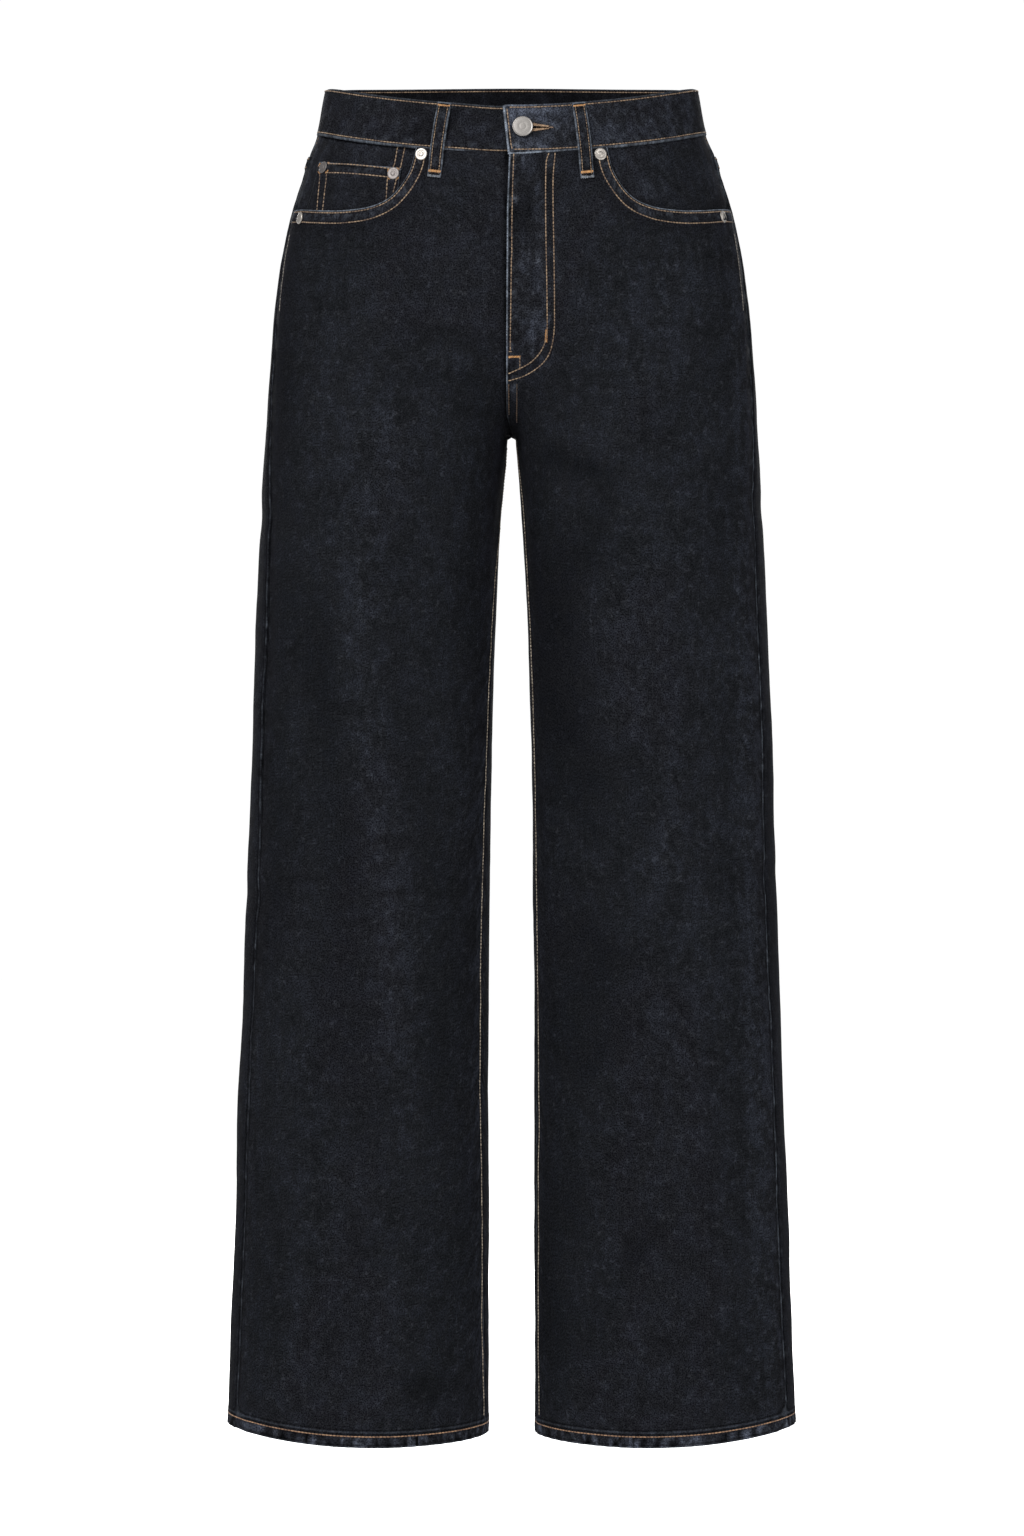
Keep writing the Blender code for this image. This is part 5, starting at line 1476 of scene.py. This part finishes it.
def sewn(name, lines, material, pitch=STITCH_PITCH, length=STITCH_LENGTH, radius=THREAD,
         turn=0.0, spread=0.06, unevenness=0.16, sides=6):
    """Stitches along lines of points with their facing directions, as one plain mesh."""
    points, facing, edges, start = [], [], [], 0
    for spots, out in lines:
        points.append(spots)
        facing.append(out)
        edges += [(start + number, start + number + 1) for number in range(len(spots) - 1)]
        start += len(spots)
    mesh = bpy.data.meshes.new(name)
    mesh.from_pydata(np.vstack(points).tolist(), edges, [])
    store(mesh, "facing", np.vstack(facing), "FLOAT_VECTOR")
    path = new_object(name + "_path", mesh)
    rows = path.modifiers.new("thread_row", "NODES")
    rows.node_group = THREAD_ROW
    wanted = {"Pitch": pitch, "Length": length, "Radius": radius, "Turn": turn, "Spread": spread,
              "Unevenness": unevenness, "Sides": sides, "Thread": material}
    for socket in THREAD_ROW.interface.items_tree:
        if socket.in_out == "INPUT" and socket.name in wanted:
            rows[socket.identifier] = wanted[socket.name]
    bpy.context.view_layer.update()
    made = bpy.data.meshes.new_from_object(path.evaluated_get(bpy.context.evaluated_depsgraph_get()))
    made.name = name
    bpy.data.objects.remove(path)
    extras.append(new_object(name, made))


def surface_of(*pieces):
    """The faces of some pieces, for rays to find."""
    points, faces = [], []
    for piece in pieces:
        start = len(points)
        points += [vertex.co for vertex in piece.data.vertices]
        faces += [[start + index for index in face.vertices] for face in piece.data.polygons]
    return BVHTree.FromPolygons(points, faces)


def laid(surface, side, u, z, inside=False, sink=0.08 * MM, reach=9 * MM):
    """A line of points brought onto the cloth, with the direction it faces at each."""
    u, z = np.broadcast_arrays(np.asarray(u, float), np.asarray(z, float))
    spots, out = mirrored(side, form(u, z)), mirrored(side, outward(u, z))
    if inside:
        out = -out
    points, facing = [], []
    for spot, direction in zip(spots, out):
        start = Vector(spot + direction * reach)
        hit, normal, _, _ = surface.ray_cast(start, Vector(-direction), 2 * reach)
        if hit is None:
            continue
        points.append(np.array(hit) - direction * sink)
        facing.append(np.array(normal))
    facing = np.array(facing)
    for _ in range(2):
        facing[1:-1] = (facing[:-2] + facing[1:-1] + facing[2:]) / 3
    return np.array(points), facing


def front_line(points, spacing=LINE_STEP):
    """u and z of a smooth line through x and z in mm on one half of the front."""
    line = curve_through(np.array(points, float) * MM, spacing)
    return front_u(line[:, 0], line[:, 1]), line[:, 1]


# ------------------------------------------------------------------ the jeans

pieces = {}
for word, side in (("left", 1), ("right", -1)):
    pieces[f"front_{word}"] = make_front(f"front_{word}_denim", side)
    pieces[f"back_{word}"] = make_back(f"back_{word}_denim", side)
    pieces[f"yoke_{word}"] = make_yoke(f"yoke_{word}_denim", side)
    pieces[f"pocket_facing_{word}"] = make_facing(f"pocket_facing_{word}_denim", side)
    pieces[f"back_pocket_{word}"] = make_back_pocket(f"back_pocket_{word}_denim", side)
pieces["coin_pocket"] = make_coin_pocket("coin_pocket_denim")
pieces["fly_underlap"] = make_underlap("fly_underlap_denim")
pieces["waistband"] = make_waistband("waistband_denim")
cut_buttonhole(pieces["waistband"])
loops = {}
for loop in LOOPS:
    pieces[loop[0]], loops[loop[0]] = make_loop(loop[0] + "_denim", *loop[1:])
hardware = {"button": make_button("button_steel")}
for rivet in RIVETS:
    hardware[rivet[0]] = make_rivet(rivet[0] + "_steel", *rivet[1:])

skin = {name: surface_of(piece) for name, piece in pieces.items()}

# Waistband topstitching, outside and inside
band_rows, band_inside_rows = [], []
for offset in (EDGE_STITCH, BAND_HEIGHT - EDGE_STITCH):
    side, u, _ = band_stations(offset / BAND_HEIGHT)
    z = band_top(u) - offset
    shown, within = slice(3, len(u) - 17), slice(8, len(u) - 3)
    band_rows.append(laid(skin["waistband"], side[shown], u[shown], z[shown]))
    line = laid(skin["waistband"], side[within], u[within], z[within], inside=True, reach=5 * MM)
    band_inside_rows.append(line)
end_z = np.linspace(band_top(-1.0) - 4 * MM, band_bottom(-1.0) + 3 * MM, 24)
end_x = mix(BAND_END_X[0], BAND_END_X[1], (band_top(-1.0) - end_z) / BAND_HEIGHT) + 2.2 * MM
band_rows.append(laid(skin["waistband"], 1, front_u(end_x, end_z), end_z))
sewn("topstitch_waistband", band_rows, TAN_THREAD)
sewn("topstitch_waistband_inside", band_inside_rows, TAN_THREAD, length=3.6 * MM)

# Fly and centre front
front_rows = []
left, right = skin["front_left"], skin["front_right"]
J_INNER = ((27.9, -66.6), (26.0, -76.3), (25.8, -118.3), (26.8, -174.0), (26.9, -198.8), (25.2, -208.2),
           (20.9, -216.1), (14.0, -222.5), (5.6, -226.6), (-1.4, -229.5))
J_OUTER = ((32.9, -66.5), (31.3, -90.1), (32.1, -147.0), (32.5, -181.3), (32.2, -200.3), (29.2, -214.7),
           (22.4, -224.0), (11.0, -231.1), (-1.2, -234.6))
for points in (J_INNER, J_OUTER, ((1.6, -67.5), (0.4, -108.4), (-0.9, -205.0), (-0.9, -212.0)),
               ((6.2, -219.0), (6.3, -226.2))):
    front_rows.append(laid(left, 1, *front_line(points)))
centre_rows = []
both = surface_of(pieces["front_left"], pieces["front_right"])
for surface, x, low in ((both, -2.2 * MM, -259 * MM), (left, 4.0 * MM, -264 * MM)):
    z = np.arange(-238 * MM, low, -LINE_STEP)
    centre_rows.append(laid(surface, 1, front_u(x, z), z))
sewn("topstitch_centre_seam", centre_rows, BROWN_THREAD)

# Pocket mouths
for side, surface in ((1, left), (-1, right)):
    _, mouth = mouth_line(side)
    direction = np.gradient(mouth, axis=0)
    inward = np.stack((-direction[:, 1], direction[:, 0]), axis=-1)
    inward /= np.linalg.norm(inward, axis=1, keepdims=True)
    if inward[len(mouth) // 2, 1] > 0:
        inward = -inward
    travelled = lengths(mouth) / lengths(mouth)[-1]
    for gap, growth, first, last in ((EDGE_STITCH, 0.0, 1, -1), (EDGE_STITCH + TWIN_GAUGE, 1.4 * MM, 1, -3)):
        away = gap + growth * smooth_step(0.75, 0.35, travelled)
        line = (mouth + inward * away[:, None])[first:last]
        line = curve_through(line[line[:, 1] < -63 * MM][::2], LINE_STEP)
        line = line[line[:, 0] < profile(line[:, 1], "side") - profile(line[:, 1], "outseam") - 1.0 * MM]
        front_rows.append(laid(surface, side, front_u(line[:, 0], line[:, 1]), line[:, 1]))

# Outseam topstitching beside the hips, and the inseams
seam_rows, hip_rows = [], []
for side, name, from_inseam, from_outseam in (
    (1, "front_left", 6.8 * MM, -9.0 * MM),
    (-1, "front_right", 3.2 * MM, -7.0 * MM),
):
    z = np.arange(-118 * MM, -176 * MM, -LINE_STEP)
    hip_rows.append(laid(skin[name], side, along_u(at_height(OUTSEAM, z), z, from_outseam), z))
    z = np.arange(CROTCH_Z - 12 * MM, -1036 * MM, -LINE_STEP)
    seam_rows.append(laid(skin[name], side, along_u(at_height(FRONT_INNER[side], z), z, from_inseam), z))
    z = np.linspace(-37 * MM, -43.5 * MM, 7)
    facing = skin[name.replace("front", "pocket_facing")]
    front_rows.append(laid(facing, side, along_u(at_height(OUTSEAM, z), z, -1.8 * MM), z))
sewn("topstitch_fronts", front_rows, TAN_THREAD)
sewn("topstitch_leg_seams", seam_rows, SEAM_THREAD, length=3.1 * MM, radius=0.62 * MM)
sewn("topstitch_hips", hip_rows, HIP_THREAD)

# Coin pocket and its facing
coin_rows = []
coin = surface_of(pieces["coin_pocket"], pieces["pocket_facing_right"])
for points in (((141.8, -65.8), (94.2, -74.7)), ((142.8, -72.9), (94.8, -81.4)),
               ((149.5, -73.6), (151.2, -101.4)), ((143.8, -74.8), (146.5, -102.1)),
               ((88.2, -58.8), (91.0, -73.5), (94.8, -82.1), (96.0, -99.4)),
               ((82.6, -59.8), (85.6, -73.8), (88.2, -83.8), (90.3, -92.6))):
    coin_rows.append(laid(coin, -1, *front_line(points, 1.2 * MM)))
sewn("topstitch_coin_pocket", coin_rows, TAN_THREAD, pitch=2.9 * MM, length=3.6 * MM)

# Yokes, centre back and back pockets
back_rows = []
for side, word in ((1, "left"), (-1, "right")):
    u = np.linspace(float(at_height(OUTSEAM, YOKE_SIDE_Z)) + 0.004, 0.993, 190)
    for gap in (EDGE_STITCH, EDGE_STITCH + TWIN_GAUGE):
        back_rows.append(laid(skin[f"back_{word}"], side, u, yoke_z(u) + YOKE_LAP - gap))
    pocket = skin[f"back_pocket_{word}"]
    rows = np.linspace(0.015, 0.985, 90)
    for inset in (EDGE_STITCH, EDGE_STITCH + TWIN_GAUGE):
        share = inset / (2 * BACK_POCKET_HALF[1])
        rise = inset / (BACK_POCKET_TOP[0] - BACK_POCKET_CORNER_Z)
        down = np.linspace(0.012, 1 - rise, 90)
        turn = np.linspace(share, 1 - share, 90)
        t = np.concatenate((np.full(90, share), turn[1:-1], np.full(90, 1 - share)))
        row = np.concatenate((down, np.full(88, 1 - rise), down[::-1]))
        u, z = pocket_outline(t, row)
        back_rows.append(laid(pocket, side, u, z))
    for row in (0.014, 0.104):
        u, z = pocket_outline(np.linspace(0.02, 0.98, 90), np.full(90, row))
        back_rows.append(laid(pocket, side, u, z))
for inset in (EDGE_STITCH, EDGE_STITCH + TWIN_GAUGE):
    for name, low, high in (("yoke_left", -91 * MM, -19 * MM), ("back_left", CROTCH_Z + 2 * MM, -95 * MM)):
        z = np.arange(high, low, -LINE_STEP)
        back_rows.append(laid(skin[name], 1, back_u(inset, z), z))
sewn("topstitch_backs", back_rows, TAN_THREAD)

# Hems, outside and inside
hem_rows = []
for side, word in ((1, "left"), (-1, "right")):
    for face, panel_u in (("front", front_panel_u), ("back", back_panel_u)):
        share = np.linspace(0.004, 0.996, 190)
        u = panel_u(side, share, -1040 * MM)
        z = hem_z(u) + HEM_STITCH
        hem_rows.append(laid(skin[f"{face}_{word}"], side, u, z))
        hem_rows.append(laid(skin[f"{face}_{word}"], side, u, z, inside=True))
sewn("topstitch_hems", hem_rows, HEM_THREAD, pitch=2.75 * MM, length=3.7 * MM, radius=0.56 * MM)

# Belt loops: two rows each, bartacks across both ends and a frayed lower end
loop_rows, tack_rows, fray_rows = [], [], []
for name, (top_x, bottom_x, top_z, drop, tilt, u_at, side) in loops.items():
    def on_loop(across, along):
        z = top_z - drop * along + across * LOOP_WIDTH * tilt
        x = mix(top_x, bottom_x, along) + across * LOOP_WIDTH
        return laid(skin[name], side, u_at(x, z), z, reach=12 * MM)
    for across in (-0.33, 0.33):
        loop_rows.append(on_loop(across, np.linspace(0.05, 0.94, 60)))
    for along in (0.035, 0.93):
        tack_rows.append(on_loop(np.linspace(-0.46, 0.46, 14), along))
    for corner in (-0.36, 0.36):
        fray_rows.append(on_loop(np.linspace(corner - 0.10, corner + 0.10, 6), 0.985))
    fray_rows.append(on_loop(np.linspace(-0.46, 0.46, 14), 0.996))
sewn("topstitch_loops", loop_rows, TAN_THREAD, pitch=2.3 * MM, length=2.8 * MM, radius=0.36 * MM)

# Bartacks: at the loops and the fly
tack_rows.append(laid(left, 1, *front_line(((26.6, -198.8), (26.1, -207.5)), 1.0 * MM)))
tack_rows.append(laid(left, 1, *front_line(((-2.0, -218.1), (6.4, -218.0)), 1.0 * MM)))
sewn("bartacks", tack_rows, COPPER_THREAD, pitch=0.42 * MM, length=2.6 * MM, radius=0.25 * MM,
     turn=math.radians(80), spread=0.10, unevenness=0.12, sides=5)
sewn("frayed_loop_ends", fray_rows, PALE_FIBRE, pitch=0.36 * MM, length=3.4 * MM, radius=0.13 * MM,
     turn=math.radians(90), spread=0.5, unevenness=0.5, sides=4)

# Buttonhole: satin stitches on both sides of the slit, which narrow to a tack
hole_rows = []
x = np.linspace(12.5 * MM, 28 * MM, 30)
taper = np.clip((x - x[0]) / (15 * MM), 0, 1)
for start, end in ((3.2 * MM, 0.9 * MM), (1.9 * MM, 0.7 * MM)):
    for sign in (1, -1):
        z = BUTTON_Z + sign * mix(start, end, taper)
        hole_rows.append(laid(skin["waistband"], 1, front_u(x, z), z))
tip_x = np.linspace(28.9 * MM, 31.2 * MM, 8)
hole_rows.append(laid(skin["waistband"], 1, front_u(tip_x, BUTTON_Z), BUTTON_Z))
sewn("buttonhole_stitch", hole_rows, BUTTONHOLE_THREAD, pitch=0.62 * MM, length=2.0 * MM,
     radius=0.30 * MM, turn=math.radians(68), spread=0.55, unevenness=0.4, sides=5)

# Thread tufts round the coin pocket's rivets
tuft_rows = []
for name, side, x, z, _ in RIVETS:
    if not name.startswith("rivet_coin"):
        continue
    for start in (0.5, 2.1, 3.8, 5.3):
        angle = np.linspace(start, start + 0.5, 6)
        ring_x, ring_z = x + 5.0 * MM * np.cos(angle), z + 5.0 * MM * np.sin(angle)
        tuft_rows.append(laid(coin, side, front_u(ring_x, ring_z), ring_z))
sewn("rivet_thread_tufts", tuft_rows, COPPER_THREAD, pitch=0.45 * MM, length=2.4 * MM, radius=0.2 * MM,
     turn=math.radians(60), spread=0.7, unevenness=0.4, sides=5)

# ------------------------------------------------------------------ the pieces attached, and the solids' parts hidden

SHEETS = {  # width and length of each cut in metres, its area in square metres, and what it hangs from
    "front": ((0.262, 0.995), 0.215, "waistband_denim"),
    "back": ((0.335, 0.985), 0.308, "yoke"),
    "yoke": ((0.245, 0.075), 0.0133, "waistband_denim"),
    "pocket_facing": ((0.125, 0.100), 0.0104, "waistband_denim"),
    "back_pocket": ((0.135, 0.140), 0.0168, "back"),
    "coin_pocket": ((0.078, 0.066), 0.0049, "pocket_facing_right_denim"),
    "fly_underlap": ((0.046, 0.152), 0.0068, "waistband_denim"),
    "waistband": ((0.880, 0.0357), 0.0310, None),
    "belt_loop": ((0.0101, 0.0575), 0.00056, "waistband_denim"),
}
for name, piece in pieces.items():
    kind = next(key for key in sorted(SHEETS, key=len, reverse=True) if name.startswith(key))
    (width, length), area, holder = SHEETS[kind]
    if holder in ("back", "yoke"):
        word = name.rsplit("_", 1)[-1]
    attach(piece, "root")
    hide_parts(name)
for name, piece in hardware.items():
    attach(piece, "root")
    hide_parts(name)
for piece in extras:
    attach(piece, "root")

# ------------------------------------------------------------------ stage, lights and camera

FLOOR_Z = -1.22
SKY_STRENGTH = 1.02
LIGHTS = (  # name, place, where it aims, width in metres and power in watts
    ("key", (-1.3, -2.1, 1.2), (0, 0, -0.5), 1.2, 120),
    ("fill", (1.6, -2.0, 0.1), (0, 0, -0.6), 1.4, 40),
    ("back_left", (0.8, 2.7, 0.5), (0, 0, -0.5), 1.4, 62),
    ("back_right", (-0.8, 2.7, 0.5), (0, 0, -0.5), 1.4, 62),
)
CAMERA_PLACE = (0.0003, -2.8, -0.5314)
LENS_LENGTH = 83.6           # in mm, for a sensor 36 mm wide


def pale_floor():
    builder = bmesh.new()
    bmesh.ops.create_circle(builder, cap_ends=True, radius=9.0, segments=96)
    mesh = bpy.data.meshes.new("pale_floor")
    builder.to_mesh(mesh)
    builder.free()
    material, tree, shader = started("pale_floor", 0.9, specular=0.1)
    place = node(tree, "ShaderNodeTexCoord").outputs["Object"]
    speckle = noise(tree, place, 3.0)
    tree.links.new(blend(tree, speckle, grey(0.975), grey(0.985)), shader.inputs["Base Color"])
    mesh.materials.append(material)
    mesh.transform(Matrix.Translation((0, 0, FLOOR_Z)))
    return new_object("pale_floor", mesh)


def area_light(name, location, target, size, power):
    light = bpy.data.lights.new(name, "AREA")
    light.shape, light.size, light.energy = "DISK", size, power
    lamp = bpy.data.objects.new(name, light)
    lamp.location = location
    lamp.rotation_euler = (Vector(target) - Vector(location)).to_track_quat("-Z", "Y").to_euler()
    bpy.context.scene.collection.objects.link(lamp)


pale_floor()
world = bpy.data.worlds.new("studio")
world.use_nodes = True
sky = world.node_tree.nodes["Background"]
sky.inputs["Color"].default_value = grey(1.0)
sky.inputs["Strength"].default_value = SKY_STRENGTH
bpy.context.scene.world = world
for light in LIGHTS:
    area_light(*light)
scene = bpy.context.scene
scene.view_settings.view_transform = "Standard"
scene.view_settings.look = "None"

lens = bpy.data.cameras.new("camera")
lens.sensor_width, lens.lens = 36.0, LENS_LENGTH
lens.clip_start, lens.clip_end = 0.05, 60.0
camera = bpy.data.objects.new("camera", lens)
camera.location = CAMERA_PLACE
camera.rotation_euler = (math.pi / 2, 0, 0)
scene.collection.objects.link(camera)
scene.camera = camera
